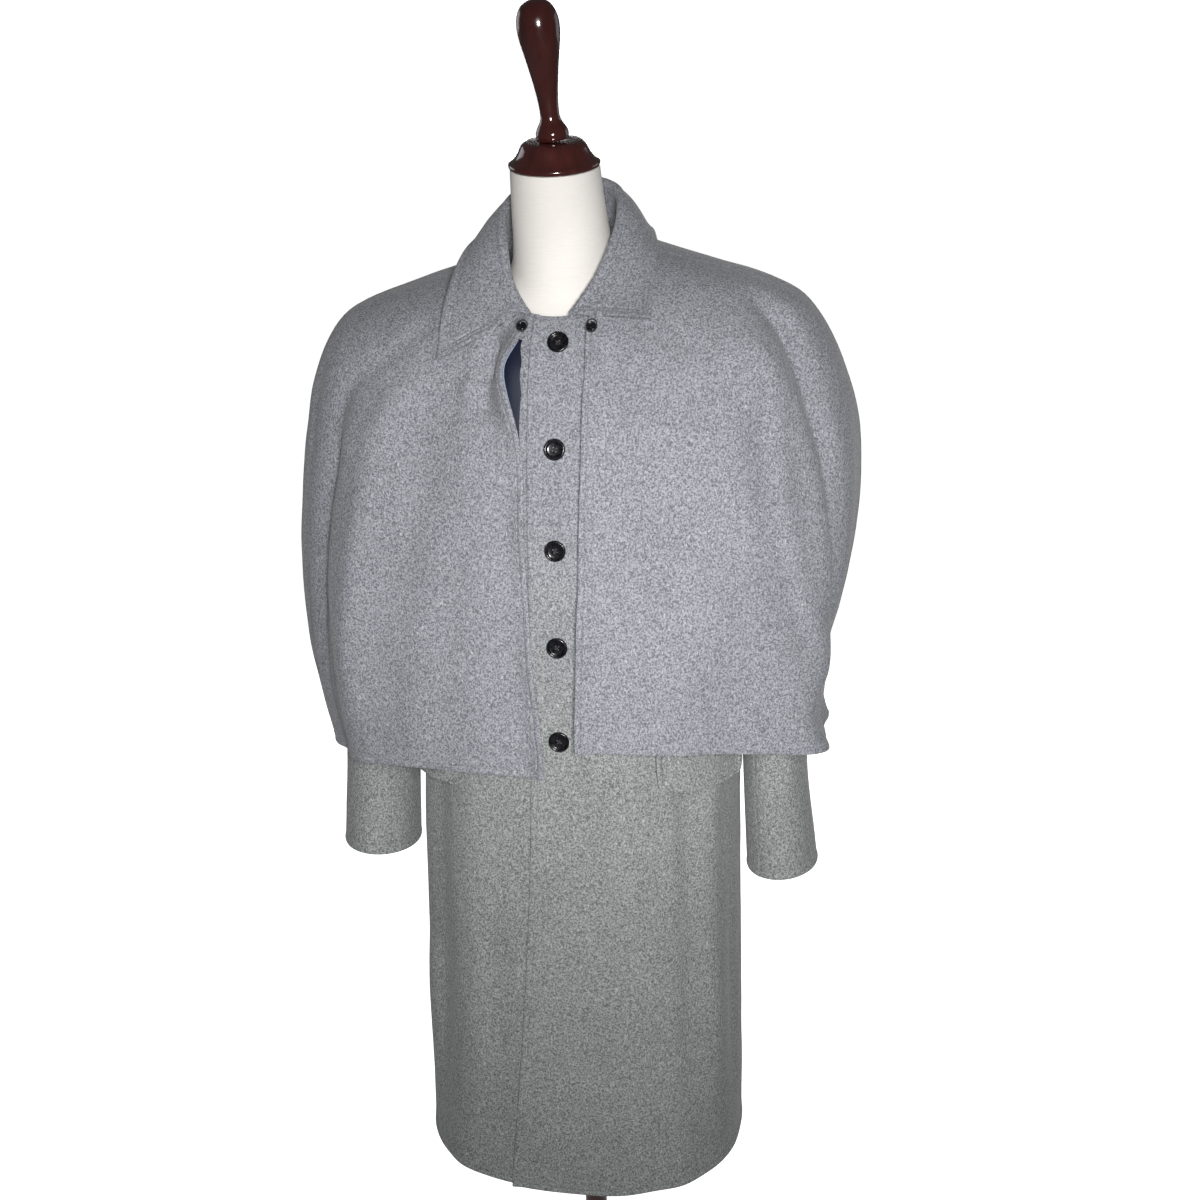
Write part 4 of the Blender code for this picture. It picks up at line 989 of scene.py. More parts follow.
COAT_BACK_CREASES = [
    Crease(5.6, 112, 0.1, 116, 2.0, 0.0240, 0.0036),
    Crease(5.0, 134, 0.1, 138, -2.0, 0.0190, -0.0036),
    Crease(5.8, 156, 0.1, 153, 3.0, 0.0270, 0.0034),
    Crease(5.4, 190, 0.1, 196, -2.0, 0.0200, -0.0034),
    Crease(5.0, 208, 0.1, 214, 2.0, 0.0250, 0.0036),
    Crease(4.2, 232, 0.1, 236, -1.0, 0.0190, -0.0030),
    Crease(4.6, 254, 0.1, 251, 2.0, 0.0210, 0.0030),
]
# Round a sleeve the turn is 0 on its outer side and 90 at the front; its places count
# up from the cuff.
SLEEVE_CREASES = [
    Crease(1.0, 62, 3.6, 24, 6.0, 0.0120, -0.0030),
    Crease(0.2, 40, 2.6, 76, -4.0, 0.0130, 0.0026),
    Crease(1.6, -50, 4.2, -20, 4.0, 0.0130, -0.0028),
    Crease(0.2, -70, 2.2, -40, 3.0, 0.0120, 0.0022),
    Crease(0.1, 8, 3.0, -6, 4.0, 0.0150, 0.0024),
    Crease(2.8, 96, 5.2, 60, 5.0, 0.0140, -0.0032),
    Crease(1.2, 150, 3.8, 200, 6.0, 0.0120, -0.0026),
]


# ---------------------------------------------------------------- coat body
BODY = {}


def past_armhole(points):
    """How far outside its armhole's oval each point lies: 1 on the oval itself."""
    return np.hypot(
        (points[..., Y] - ARMHOLE_Y) / ARMHOLE_HALF_DEPTH,
        (points[..., Z] - ARMHOLE_Z) / ARMHOLE_HALF_HEIGHT,
    )


def open_armhole(obj):
    """Take the cloth out of an armhole and bring its edge onto the oval."""
    bm = bmesh.new()
    bm.from_mesh(obj.data)
    coords = np.array([vert.co for vert in bm.verts])
    share = np.where(np.abs(coords[:, 0]) > 0.1, past_armhole(coords), 9.0)
    gone = [face for face in bm.faces if all(share[vert.index] < 1.0 for vert in face.verts)]
    bmesh.ops.delete(bm, geom=gone, context="FACES")
    bm.verts.index_update()
    for vert in bm.verts:
        ratio = past_armhole(np.array(vert.co)) if abs(vert.co.x) > 0.1 else 9.0
        if 0.0 < ratio < 1.0:
            vert.co.y = ARMHOLE_Y + (vert.co.y - ARMHOLE_Y) / ratio
            vert.co.z = ARMHOLE_Z + (vert.co.z - ARMHOLE_Z) / ratio
    bm.to_mesh(obj.data)
    bm.free()


def grid_tree(grid):
    """A search tree of a grid's inner face."""
    rows, columns = grid.shape[:2]
    index = np.arange(rows * columns).reshape(rows, columns)
    faces = np.stack([index[:-1, :-1], index[:-1, 1:], index[1:, 1:], index[1:, :-1]], axis=-1)
    points = [Vector(point) for point in grid[..., :3].reshape(-1, 3)]
    return BVHTree.FromPolygons(points, faces.reshape(-1, 4).tolist())


def build_body(settings):
    """The two fronts that lap and the back, with armholes, hem and lap topstitched."""
    top = len(COAT) - 1
    panels = (
        ("coat_front_left", lapped_row, front_left_turns, ("start", "hem"), (False, True)),
        ("coat_front_right", coat_row, front_right_turns, ("hem",), (True, False)),
        ("coat_back", coat_row, back_turns, ("hem",), (True, True)),
    )
    creases = COAT_RIGHT_CREASES + COAT_LEFT_CREASES + COAT_BACK_CREASES
    for name, surface, turns, stitched, seams in panels:
        grid = even_out(laid_out(surface, 0, top, turns), 48, 150, stitched, seams)
        lips = [(edge, LAP_LIP, LIP_REACH) for edge in stitched if edge != "hem"]
        grid = shaped(grid, creases, stitched, ripple=settings.ripple, lips=lips)
        sheet = grid_mesh(name + "_cloth", grid, FINISH["coat"])
        open_armhole(sheet)
        obj = walled(sheet, CLOTH)
        placed(obj, "wool", name)
        BODY[name] = grid
    left, right, back = (BODY[name] for name, *_ in panels)
    add_stitches("coat", *stitch_line(left, "start", CLOTH, skip=(6, -2)))
    for grid in (left, right, back):
        add_stitches("coat", *stitch_line(grid, "hem", CLOTH, line=STITCH_LINES[1], skip=(1, -1)))
    sew("coat", "coat_topstitching", FINISH["thread"])


def side_x(side, y, z):
    """How far out the coat's wall reaches at a height and depth."""
    reach = []
    for tree in BODY["trees"]:
        for nudge in (0.0, 0.002, -0.002):
            start = Vector((side * 0.5, y + nudge, z))
            hit = tree.ray_cast(start, Vector((-side, 0.0, 0.0)), 0.45)[0]
            if hit is not None:
                reach.append(abs(hit.x))
    return max(reach) + CLOTH


def sleeve_points(side, turns):
    """The rings of a sleeve, cuff first: 0 outside, a quarter turn at the front."""
    drop = SLEEVE_DROP_LEFT if side > 0 else 0.0
    last = len(SLEEVE) - 1
    rows = []
    for i, row in enumerate(SLEEVE):
        outer_x = row.outer_left if side > 0 else row.outer_right
        inner_x = row.inner_left if side > 0 else row.inner_right
        outer = np.array([side * outer_x, row.centre_y, row.outer_z - drop * i / last])
        inner = np.array([side * inner_x, row.centre_y, row.inner_z - drop * i / last])
        middle, along = (outer + inner) * 0.5, (outer - inner) * 0.5
        ahead = np.array([0.0, -row.half_depth, 0.0])
        rows.append(middle + np.outer(np.cos(turns), along) + np.outer(np.sin(turns), ahead))
    head = []
    for turn in turns:
        y = ARMHOLE_Y + (ARMHOLE_HALF_DEPTH + 0.004) * math.sin(-turn)
        z = ARMHOLE_Z + (ARMHOLE_HALF_HEIGHT + 0.004) * math.cos(-turn)
        head.append((side * (side_x(side, y, z) + SLEEVE_SPACE), y, z))
    return rows[::-1] + [np.array(head)]


def build_sleeves(settings):
    """Two-piece sleeves with open cuffs."""
    BODY["trees"] = [grid_tree(BODY[name]) for name in ("coat_front_left", "coat_front_right", "coat_back")]
    seam = SLEEVE_SEAM_TURN
    gap = SLEEVE_SEAM * 0.5 / 0.065
    for side, word in ((1.0, "left"), (-1.0, "right")):
        for part, start, end in (("top", -seam, seam), ("under", seam, 2.0 * math.pi - seam)):
            turns = np.linspace(start + gap, end - gap, 97)
            if side > 0:
                turns = turns[::-1]
            rows = sleeve_points(side, turns)
            grid = np.empty((91, len(turns), 5))
            for row, place in zip(grid, np.linspace(0.0, len(rows) - 1, 91)):
                row[:, :3] = between(rows, place)
                row[:, PLACE] = place
                row[:, TURN] = turns
            grid = even_out(grid, 44 if part == "top" else 26, 96, ("hem",))
            name = "sleeve_%s_%s" % (word, part)
            reach = grid.copy()
            reach[..., X] -= side * 0.25
            welt = stitch_swell(edge_distances(grid)["hem"], STITCH_LINES[1:])
            depth = crease_depth(SLEEVE_CREASES, reach) + welt
            grid[..., :3] += outward(grid) * np.minimum(depth, 0.0008)[..., None]
            obj = walled(grid_mesh(name + "_cloth", grid, FINISH["coat"]), CLOTH, side=-1.0)
            placed(obj, "wool", name)
            add_stitches("sleeves", *stitch_line(grid, "hem", 0.0, line=STITCH_LINES[1], skip=(1, -1)))
    sew("sleeves", "sleeve_topstitching", FINISH["thread"])


# ---------------------------------------------------------------- cape
def build_cape(settings):
    """The cape's two fronts and back, edges and hem topstitched, with the lining that
    shows behind the front edges, its navy darkened as painted shade, and its turned edge,
    coloured pale as a painted highlight."""
    end = len(CAPE) - 1
    panels = (
        ("cape_front_left", cape_left_turns, ("start", "hem"), (0, 1)),
        ("cape_front_right", cape_right_turns, ("end", "hem"), (1, 0)),
        ("cape_back", cape_back_turns, ("hem",), (1, 1)),
    )
    creases = CAPE_RIGHT_CREASES + CAPE_LEFT_CREASES + CAPE_BACK_CREASES
    for name, turns, stitched, seams in panels:
        wide = 74 if name == "cape_back" else 62
        grid = even_out(laid_out(cape_row, end, 0, turns), wide, 86, stitched, seams)
        lips = [(edge, CAPE_HEM_LIP if edge == "hem" else CAPE_LIP, CAPE_LIP_REACH) for edge in stitched]
        grid = shaped(grid, creases, stitched, ripple=settings.ripple * 1.2, size=0.09, lips=lips)
        obj = walled(grid_mesh(name + "_cloth", grid, FINISH["cape"]), CLOTH)
        placed(obj, "wool", name)
        BODY[name] = grid
        add_stitches("cape", *stitch_line(grid, "hem", CLOTH, skip=(5, -5)))
    left, right = BODY["cape_front_left"], BODY["cape_front_right"]
    add_stitches("cape", *stitch_line(left, "start", CLOTH, skip=(5, -1)))
    add_stitches("cape", *stitch_line(right, "end", CLOTH, skip=(5, -1)))
    sew("cape", "cape_topstitching", FINISH["thread"])
    build_lining()
    turn_edges(left, right)


def build_lining():
    """The lining behind each front edge. Beside the curled edge it reaches further out
    than the cape and lies over the hollow there, a near-black sheet that stands for painted shade."""
    end = len(CAPE) - 1
    share = 2.0 / 14.0
    inset = math.radians(0.4)

    def left_strip(place):
        first, last = cape_left_turns(place)
        return first + inset, first + (last - first) * share

    def right_strip(place):
        first, last = cape_right_turns(place)
        # How far the strip reaches past the curled edge to cover the hollow: painted shade.
        painted_shade_reach = 0.0155 * float(smooth(0.9, 1.9, place) * (1.0 - smooth(2.4, 4.4, place)))
        past = turn_at_x(between(CAPE, place), painted_shade_reach - between(CAPE_EDGE_RIGHT, place))
        return last - (last - first) * share, past - inset

    strips = (
        ("cape_lining_left", left_strip),
        ("cape_lining_right", right_strip),
    )
    creases = CAPE_RIGHT_CREASES + CAPE_LEFT_CREASES
    for name, strip in strips:
        grid = even_out(laid_out(lining_row, end - 0.12, 0.9, strip, 90, 24), 20, 90, ())
        grid = shaped(grid, creases)
        grid[..., :3] -= outward(grid) * 0.0012
        obj = walled(grid_mesh(name + "_cloth", grid, FINISH["lining"]), LINING, rim=0.0003)
        placed(obj, "lining", name)


def turn_edges(left, right):
    """The lining's turned edge, rolled just past each front edge near the neck, coloured pale
    blue as a painted highlight on the dark navy lining.
    """
    for name, grid, column, low, high in (
        ("lining_edge_highlight_right", right, -1, 1.0, 3.6), ("lining_edge_highlight_left", left, 0, 0.35, 1.5),
    ):
        rows = [row[column, :3] for row in grid if low <= row[column, PLACE] <= high]
        inward = -outward(grid)[:, column]
        picked = [inward[i] for i, row in enumerate(grid) if low <= row[column, PLACE] <= high]
        count = len(rows)
        curve = bpy.data.curves.new(name, "CURVE")
        curve.dimensions = "3D"
        curve.bevel_depth = 0.00085
        curve.bevel_resolution = 3
        curve.use_fill_caps = True
        spline = curve.splines.new("POLY")
        spline.points.add(count - 1)
        for i, (point, inner) in enumerate(zip(rows, picked)):
            share = i / (count - 1)
            spline.points[i].co = (*(point + inner * 0.0004), 1.0)
            spline.points[i].radius = 0.25 + 0.75 * math.sin(math.pi * share)
        # Pale blue: a painted highlight on the navy lining.
        curve.materials.append(FINISH["turned"])
        obj = bpy.data.objects.new(name, curve)
        bpy.context.scene.collection.objects.link(obj)
        select_only(obj)
        bpy.ops.object.convert(target="MESH")
        bpy.context.object.data.shade_smooth()
        placed(bpy.context.object, "lining")


# ---------------------------------------------------------------- collar and flaps
def collar_section(station):
    """One section across the collar: up the stand, over the fold and down the leaf."""
    seam = ring_row(COAT[-1], np.array([math.radians(station.turn)]))[0] + np.array([0.0, 0.0, CLOTH + LAY])
    fold = np.array([station.fold_x, station.fold_y, station.fold_z])
    edge = np.array([station.edge_x, station.edge_y, station.edge_z])
    out = (edge - fold) * np.array([1.0, 1.0, 0.0])
    out /= np.linalg.norm(out)
    middle = fold - np.array([0.0, 0.0, FOLD_RADIUS])
    bend = [
        middle - out * FOLD_RADIUS * math.cos(turn) + np.array([0.0, 0.0, FOLD_RADIUS * math.sin(turn)])
        for turn in np.linspace(0.0, math.pi, 9)
    ]
    stand = [seam + (bend[0] - seam) * t for t in np.linspace(0.0, 1.0, 12)[:-1]]
    leaf = []
    height = LEAF_BOW * smooth(20.0, 75.0, min(-station.turn, 360.0 + station.turn))
    for t in np.linspace(0.0, 1.0, 25)[1:]:
        bow = np.array([0.0, 0.0, height * math.sin(math.pi * t)])
        leaf.append(bend[-1] + (edge - bend[-1]) * t + bow)
    return np.array(stand + bend + leaf)


def build_collar(settings):
    """The turn-down collar: one folded wall with two rows of stitches round its leaf."""
    last = len(COLLAR) - 1
    sections = [collar_section(between(COLLAR, place)) for place in np.linspace(0.0, last, 181)]
    points = np.array(sections).transpose(1, 0, 2)
    rows, columns = points.shape[:2]
    grid = np.empty((rows, columns, 5))
    grid[..., :3] = points
    grid[..., PLACE] = np.arange(rows)[:, None]
    grid[..., TURN] = np.linspace(0.0, 1.0, columns)[None, :]
    grid = even_out(grid, 150, 40, ("start", "end", "top"))
    on_leaf = grid[..., PLACE] > LEAF_START
    cape = ("cape_front_left", "cape_front_right", "cape_back")
    trees = [tree_of(bpy.data.objects[name + "_cloth"]) for name in cape]
    for r, c in np.argwhere(on_leaf):
        point = Vector(grid[r, c, :3])
        for tree in trees:
            near, normal, _, _ = tree.find_nearest(point)
            gap = (point - near).dot(normal)
            if gap < LEAF_SPACE:
                point = point + normal * (LEAF_SPACE - gap)
        grid[r, c, :3] = point
    distances = edge_distances(grid)
    near = np.minimum.reduce([distances[edge] for edge in ("start", "end", "top")])
    curl = LEAF_LIP * np.exp(-((near / LEAF_LIP_REACH) ** 2))
    depth = np.where(on_leaf, curl + stitch_swell(near, STITCH_LINES), 0.0)
    depth = depth + softness(grid, settings.ripple * 0.6, 0.05)
    grid[..., :3] += outward(grid) * np.maximum(depth, -0.0012)[..., None]
    wall = CLOTH * 1.25
    obj = walled(grid_mesh("collar_cloth", grid, FINISH["cape"]), wall, rim=0.0012)
    placed(obj, "wool", "collar")
    first_leaf = int(np.argmax(grid[:, columns // 2, PLACE] > PAST_FOLD))
    for line in STITCH_LINES:
        add_stitches("collar", *stitch_line(grid, "top", wall, line=line, skip=(line, -line)))
        for edge in ("start", "end"):
            add_stitches("collar", *stitch_line(grid, edge, wall, line=line, skip=(first_leaf, -line)))
    sew("collar", "collar_topstitching", FINISH["thread"])


def build_flaps(settings):
    """Pocket flaps with round, topstitched lower corners."""
    below, here, over = COAT[FLAP_RING - 1:FLAP_RING + 2]
    low_z, high_z = FLAP_Z
    for side, word in ((1.0, "left"), (-1.0, "right")):
        surface = lapped_row if side > 0 else coat_row
        start = turn_at_x(here, side * FLAP_INNER_X)
        rows = np.concatenate([np.linspace(0.0, 0.30, 26)[:-1], np.linspace(0.30, 1.0, 12)])
        grid = np.empty((len(rows), 61, 5))
        for row, share in zip(grid, rows):
            z = low_z + (high_z - low_z) * share
            above = z - low_z
            back = 0.0
            if above < FLAP_CORNER:
                back = FLAP_CORNER - math.sqrt(FLAP_CORNER ** 2 - (FLAP_CORNER - above) ** 2)
            step = over.side_z - here.side_z if z > here.side_z else here.side_z - below.side_z
            trim = back / here.left
            turns = start + side * np.linspace(trim, FLAP_TURN - trim, 61)
            if side < 0:
                turns = turns[::-1]
            points = surface(FLAP_RING + (z - here.side_z) / step, turns)
            lift = CLOTH + LAY + FLAP_STAND * FLAP_LEAN * (1.0 - share) + FLAP_SPACE
            row[:, :3] = moved_out(points, np.full(61, lift))
            row[:, PLACE] = share
            row[:, TURN] = turns
        grid = even_out(grid, 30, 14, ("start", "end", "hem"))
        lips = [(edge, FLAP_LIP, LIP_REACH) for edge in ("start", "end", "hem")]
        grid = shaped(grid, (), ("start", "end", "hem"), lips=lips)
        obj = walled(grid_mesh("pocket_flap_%s_cloth" % word, grid, FINISH["coat"]), CLOTH)
        placed(obj, "wool", "pocket_flap_" + word)
        line = STITCH_LINES[0]
        for edge in ("start", "end"):
            add_stitches("flaps", *stitch_line(grid, edge, CLOTH, skip=(line, -1)))
        add_stitches("flaps", *stitch_line(grid, "hem", CLOTH, skip=(line, -line)))
    sew("flaps", "flap_topstitching", FINISH["thread"])


# ---------------------------------------------------------------- buttons
def facing(point, out):
    """A matrix at a point, its Z along a direction and its Y as upright as it can be."""
    across = Vector((0.0, 0.0, 1.0)).cross(out).normalized()
    return Matrix.Translation(point) @ Matrix((across, out.cross(across), out)).transposed().to_4x4()


def turned_up(name, profile, material, steps=64):
    """A turned piece, raised from a disc ring by ring through radii and heights."""
    bpy.ops.object.select_all(action="DESELECT")
    radius, height = profile[0]
    bpy.ops.mesh.primitive_circle_add(
        vertices=steps, radius=radius, fill_type="NGON", location=(0.0, 0.0, height),
    )
    obj = bpy.context.object
    obj.name = name
    select_only(obj)
    bpy.ops.object.transform_apply(location=True, rotation=False, scale=False)
    bpy.ops.object.mode_set(mode="EDIT")
    bpy.ops.mesh.select_mode(type="FACE")
    bpy.ops.mesh.select_all(action="SELECT")
    for (radius, height), (following, rise) in zip(profile, profile[1:]):
        bpy.ops.mesh.extrude_region_move(TRANSFORM_OT_translate={"value": (0.0, 0.0, rise - height)})
        share = following / radius
        bpy.ops.transform.resize(value=(share, share, 1.0))
    bpy.ops.mesh.select_all(action="SELECT")
    bpy.ops.mesh.normals_make_consistent(inside=False)
    bpy.ops.object.mode_set(mode="OBJECT")
    obj.data.materials.append(material)
    bpy.ops.object.shade_smooth_by_angle(angle=math.radians(40))
    return obj


def settle(obj, matrix):
    """Put a piece in place in its mesh, its object left at the origin."""
    obj.data.transform(matrix)
    obj.matrix_world = Matrix.Identity(4)
    obj.data.update()
    return obj


def button_master(radius, thick, material):
    """A button with a round rim, a dished middle and four thread holes."""
    profile = [
        (radius * 0.70, 0.0), (radius * 0.93, thick * 0.12), (radius * 0.985, thick * 0.36),
        (radius, thick * 0.58), (radius * 0.985, thick * 0.78), (radius * 0.94, thick * 0.93),
        (radius * 0.87, thick), (radius * 0.80, thick * 0.97), (radius * 0.745, thick * 0.86),
        (radius * 0.70, thick * 0.70), (radius * 0.64, thick * 0.63), (radius * 0.50, thick * 0.575),
        (radius * 0.30, thick * 0.54), (radius * 0.10, thick * 0.53),
    ]
    master = turned_up("button_master", profile, material, 72)
    drill = []
    for k in range(4):
        angle = math.radians(45 + 90 * k)
        reach = radius * 0.20
        bpy.ops.object.select_all(action="DESELECT")
        bpy.ops.mesh.primitive_cylinder_add(
            vertices=20, radius=radius * 0.082, depth=thick * 4.0,
            location=(reach * math.cos(angle), reach * math.sin(angle), 0.0),
        )
        drill.append(bpy.context.object)
    for tool in drill:
        cutter = master.modifiers.new("hole", "BOOLEAN")
        cutter.solver = "EXACT"
        cutter.object = tool
    apply_all(master)
    for tool in drill:
        bpy.data.objects.remove(tool, do_unlink=True)
    select_only(master)
    bpy.ops.object.shade_smooth_by_angle(angle=math.radians(35))
    return master


def thread_cross(name, radius, thick, material):
    """The four strands over a button's holes."""
    verts, faces = [], []
    for k in range(2):
        ahead = np.array([math.cos(math.radians(45 + 90 * k)), math.sin(math.radians(45 + 90 * k)), 0.0])
        aside = np.array([-ahead[1], ahead[0], 0.0])
        for shift in (-0.00042, 0.00042):
            base = len(verts)
            steps = 11
            for i in range(steps):
                share = i / (steps - 1)
                lift = thick * 0.50 + 0.0007 * math.sin(math.pi * share) ** 0.5 + 0.0003 * k
                if i in (0, steps - 1):
                    lift = thick * 0.25
                middle = ahead * radius * 0.20 * (2.0 * share - 1.0) + aside * shift
                for j in range(8):
                    angle = j * math.pi / 4.0
                    offset = aside * math.cos(angle) + np.array([0.0, 0.0, math.sin(angle)])
                    verts.append(tuple(middle + np.array([0.0, 0.0, lift]) + offset * 0.00042))
            for i in range(steps - 1):
                for j in range(8):
                    a, b = base + i * 8 + j, base + i * 8 + (j + 1) % 8
                    faces.append((a, b, b + 8, a + 8))
            faces.append(tuple(base + j for j in reversed(range(8))))
            faces.append(tuple(base + (steps - 1) * 8 + j for j in range(8)))
    mesh = bpy.data.meshes.new(name)
    mesh.from_pydata(verts, [], faces)
    mesh.materials.append(material)
    obj = bpy.data.objects.new(name, mesh)
    bpy.context.scene.collection.objects.link(obj)
    select_only(obj)
    bpy.ops.object.mode_set(mode="EDIT")
    bpy.ops.mesh.select_all(action="SELECT")
    bpy.ops.mesh.normals_make_consistent(inside=False)
    bpy.ops.object.mode_set(mode="OBJECT")
    obj.data.shade_smooth()
    return obj


def copy_of(master, name):
    """A copy of a piece with a mesh of its own."""
    obj = master.copy()
    obj.data = master.data.copy()
    obj.name = name
    bpy.context.scene.collection.objects.link(obj)
    return obj


def button_seat(tree, z, half):
    """Where a button lies on the lap: its back's middle and its direction."""
    hits = [
        tree.ray_cast(Vector((0.0, -0.5, z + step * half)), Vector((0.0, 1.0, 0.0)), 0.5)[0]
        for step in (-0.9, 0.9)
    ]
    slope = (hits[1] - hits[0]).normalized()
    out = Vector((0.0, -slope.z, slope.y))
    if out.y > 0:
        out.negate()
    return (hits[0] + hits[1]) * 0.5, out.normalized()


def build_buttons(settings):
    """Five coat buttons sewn through four holes, each with its worked buttonhole."""
    radius = settings.button / 2.0
    thick = 0.0045
    master = button_master(radius, thick, FINISH["horn"])
    cross = thread_cross("cross_master", radius, thick, FINISH["black thread"])
    lap = tree_of(bpy.data.objects["coat_front_left_cloth"])
    for i in range(BUTTON_COUNT):
        seat, out = button_seat(lap, BUTTON_TOP_Z - BUTTON_PITCH * i, radius)
        turn = Matrix.Rotation(math.radians((7, -11, 16, -5, 10)[i]), 4, "Z")
        place = facing(seat + out * 0.0011, out) @ turn
        name = "horn_button_%d" % (i + 1)
        placed(settle(copy_of(master, name), place), "buttons", "button_%d" % (i + 1))
        placed(settle(copy_of(cross, name + "_thread"), place), "buttons")
        work_buttonhole(lap, seat, out)
    for tool in (master, cross):
        bpy.data.objects.remove(tool, do_unlink=True)
    sew("buttonholes", "buttonhole_stitches", FINISH["thread"])


def work_buttonhole(tree, seat, out):
    """Purl stitches round a horizontal slit that starts behind the button."""
    up = Vector((1.0, 0.0, 0.0)).cross(out).normalized()
    if up.z < 0:
        up.negate()
    path = []
    for t in np.linspace(0.0, 1.0, 84, endpoint=False):
        turn = 2.0 * math.pi * t
        x = 0.0095 + 0.0125 * math.copysign(abs(math.cos(turn)) ** 0.35, math.cos(turn))
        z = 0.0013 * math.copysign(abs(math.sin(turn)) ** 0.6, math.sin(turn))
        start = seat + Vector((1.0, 0.0, 0.0)) * x + up * z + out * 0.01
        hit, normal, _, _ = tree.ray_cast(start, -out, 0.05)
        path.append((hit, (start - seat - out * 0.01).normalized(), normal))
    verts, faces = THREADS.setdefault("buttonholes", ([], []))
    for hit, _, normal in path:
        base = len(verts)
        ahead = np.array(up)
        aside = np.cross(np.array(normal), ahead)
        top = np.array(hit)
        for share in (-1.0, -0.55, 0.55, 1.0):
            lift = 0.00022 if abs(share) < 0.9 else -0.0003
            for k in range(6):
                angle = k * math.pi / 3.0
                offset = aside * math.cos(angle) + np.array(normal) * math.sin(angle)
                verts.append(tuple(top + ahead * share * 0.0010 + np.array(normal) * lift + offset * 0.00030))
        for ring in range(3):
            for k in range(6):
                a, b = base + ring * 6 + k, base + ring * 6 + (k + 1) % 6
                faces.append((a, a + 6, b + 6, b))
        faces.append(tuple(base + k for k in range(6)))
        faces.append(tuple(base + 18 + k for k in reversed(range(6))))


def build_cape_buttons(settings):
    """The small buttons that hold the cape on, with a cord loop round each."""
    master = button_master(0.0056, 0.0026, FINISH["horn"])
    for side, word in ((1.0, "left"), (-1.0, "right")):
        tree = tree_of(bpy.data.objects["cape_front_%s_cloth" % word])
        start = Vector((side * CAPE_BUTTON_X, -0.5, CAPE_BUTTON_Z))
        hit, normal, _, _ = tree.ray_cast(start, Vector((0.0, 1.0, 0.0)), 0.5)
        out = Vector((0.0, normal.y, normal.z)).normalized()
        place = facing(hit + out * 0.0012, out)
        placed(settle(copy_of(master, "cape_horn_button_" + word), place), "buttons", "cape_button_" + word)
        bpy.ops.object.select_all(action="DESELECT")
        bpy.ops.mesh.primitive_torus_add(
            major_radius=0.0060, minor_radius=0.0007, major_segments=48, minor_segments=10,
        )
        loop = bpy.context.object
        loop.name = "cape_button_loop_" + word
        select_only(loop)
        bpy.ops.object.mode_set(mode="EDIT")
        bpy.ops.mesh.select_all(action="SELECT")
        bpy.ops.transform.resize(value=(1.0, 1.28, 1.0))
        bpy.ops.object.mode_set(mode="OBJECT")
        loop.data.materials.append(FINISH["black thread"])
        loop.data.shade_smooth()
        placed(settle(loop, place @ Matrix.Translation((0.0, 0.0012, 0.0004))), "buttons")
    bpy.data.objects.remove(master, do_unlink=True)


# ---------------------------------------------------------------- dress form and stand
def build_form(settings):
    """The padded form under cream linen, with its seams, and a seamed neck."""
    columns = 128
    last = len(FORM) - 1
    turns = np.linspace(0.0, 2.0 * math.pi, columns, endpoint=False)
    places = np.concatenate([np.linspace(0.0, 12.0, 110)[:-1], np.linspace(12.0, last, 60)])
    verts, faces = [], []
    for place in places:
        points = ring_row(between(FORM, place), turns)
        seam_depth = np.zeros(columns)
        for centre in (0, 38, 90, 142, 180, 218, 270, 322):
            reach = 0.5 if place < 12.2 or centre in (180,) else 0.0
            seam_depth -= reach * 0.0011 * np.exp(-((from_middle(turns, centre) / 1.6) ** 2))
        seam_depth -= 0.0006 * math.exp(-(((place - 12.35) / 0.03) ** 2))
        points = moved_out(points, seam_depth)
        verts += [tuple(point) for point in points]
    for r in range(len(places) - 1):
        for c in range(columns):
            d = (c + 1) % columns
            a, b = r * columns, (r + 1) * columns
            faces.append((a + c, a + d, b + d, b + c))
    faces.append(tuple(reversed(range(columns))))
    faces.append(tuple((len(places) - 1) * columns + c for c in range(columns)))
    mesh = bpy.data.meshes.new("linen_form")
    mesh.from_pydata(verts, [], faces)
    mesh.materials.append(FINISH["linen"])
    obj = bpy.data.objects.new("linen_form", mesh)
    bpy.context.scene.collection.objects.link(obj)
    select_only(obj)
    bpy.ops.object.mode_set(mode="EDIT")
    bpy.ops.mesh.select_all(action="SELECT")
    bpy.ops.mesh.normals_make_consistent(inside=False)
    bpy.ops.object.mode_set(mode="OBJECT")
    bpy.ops.object.shade_smooth_by_angle(angle=math.radians(50))
    placed(obj, "linen", "dress_form")


def smooth_profile(rows, count):
    """More points on a smooth curve through a profile's points."""
    points = [np.array(row) for row in rows]
    return [tuple(between(points, place)) for place in np.linspace(0, len(rows) - 1, count)]


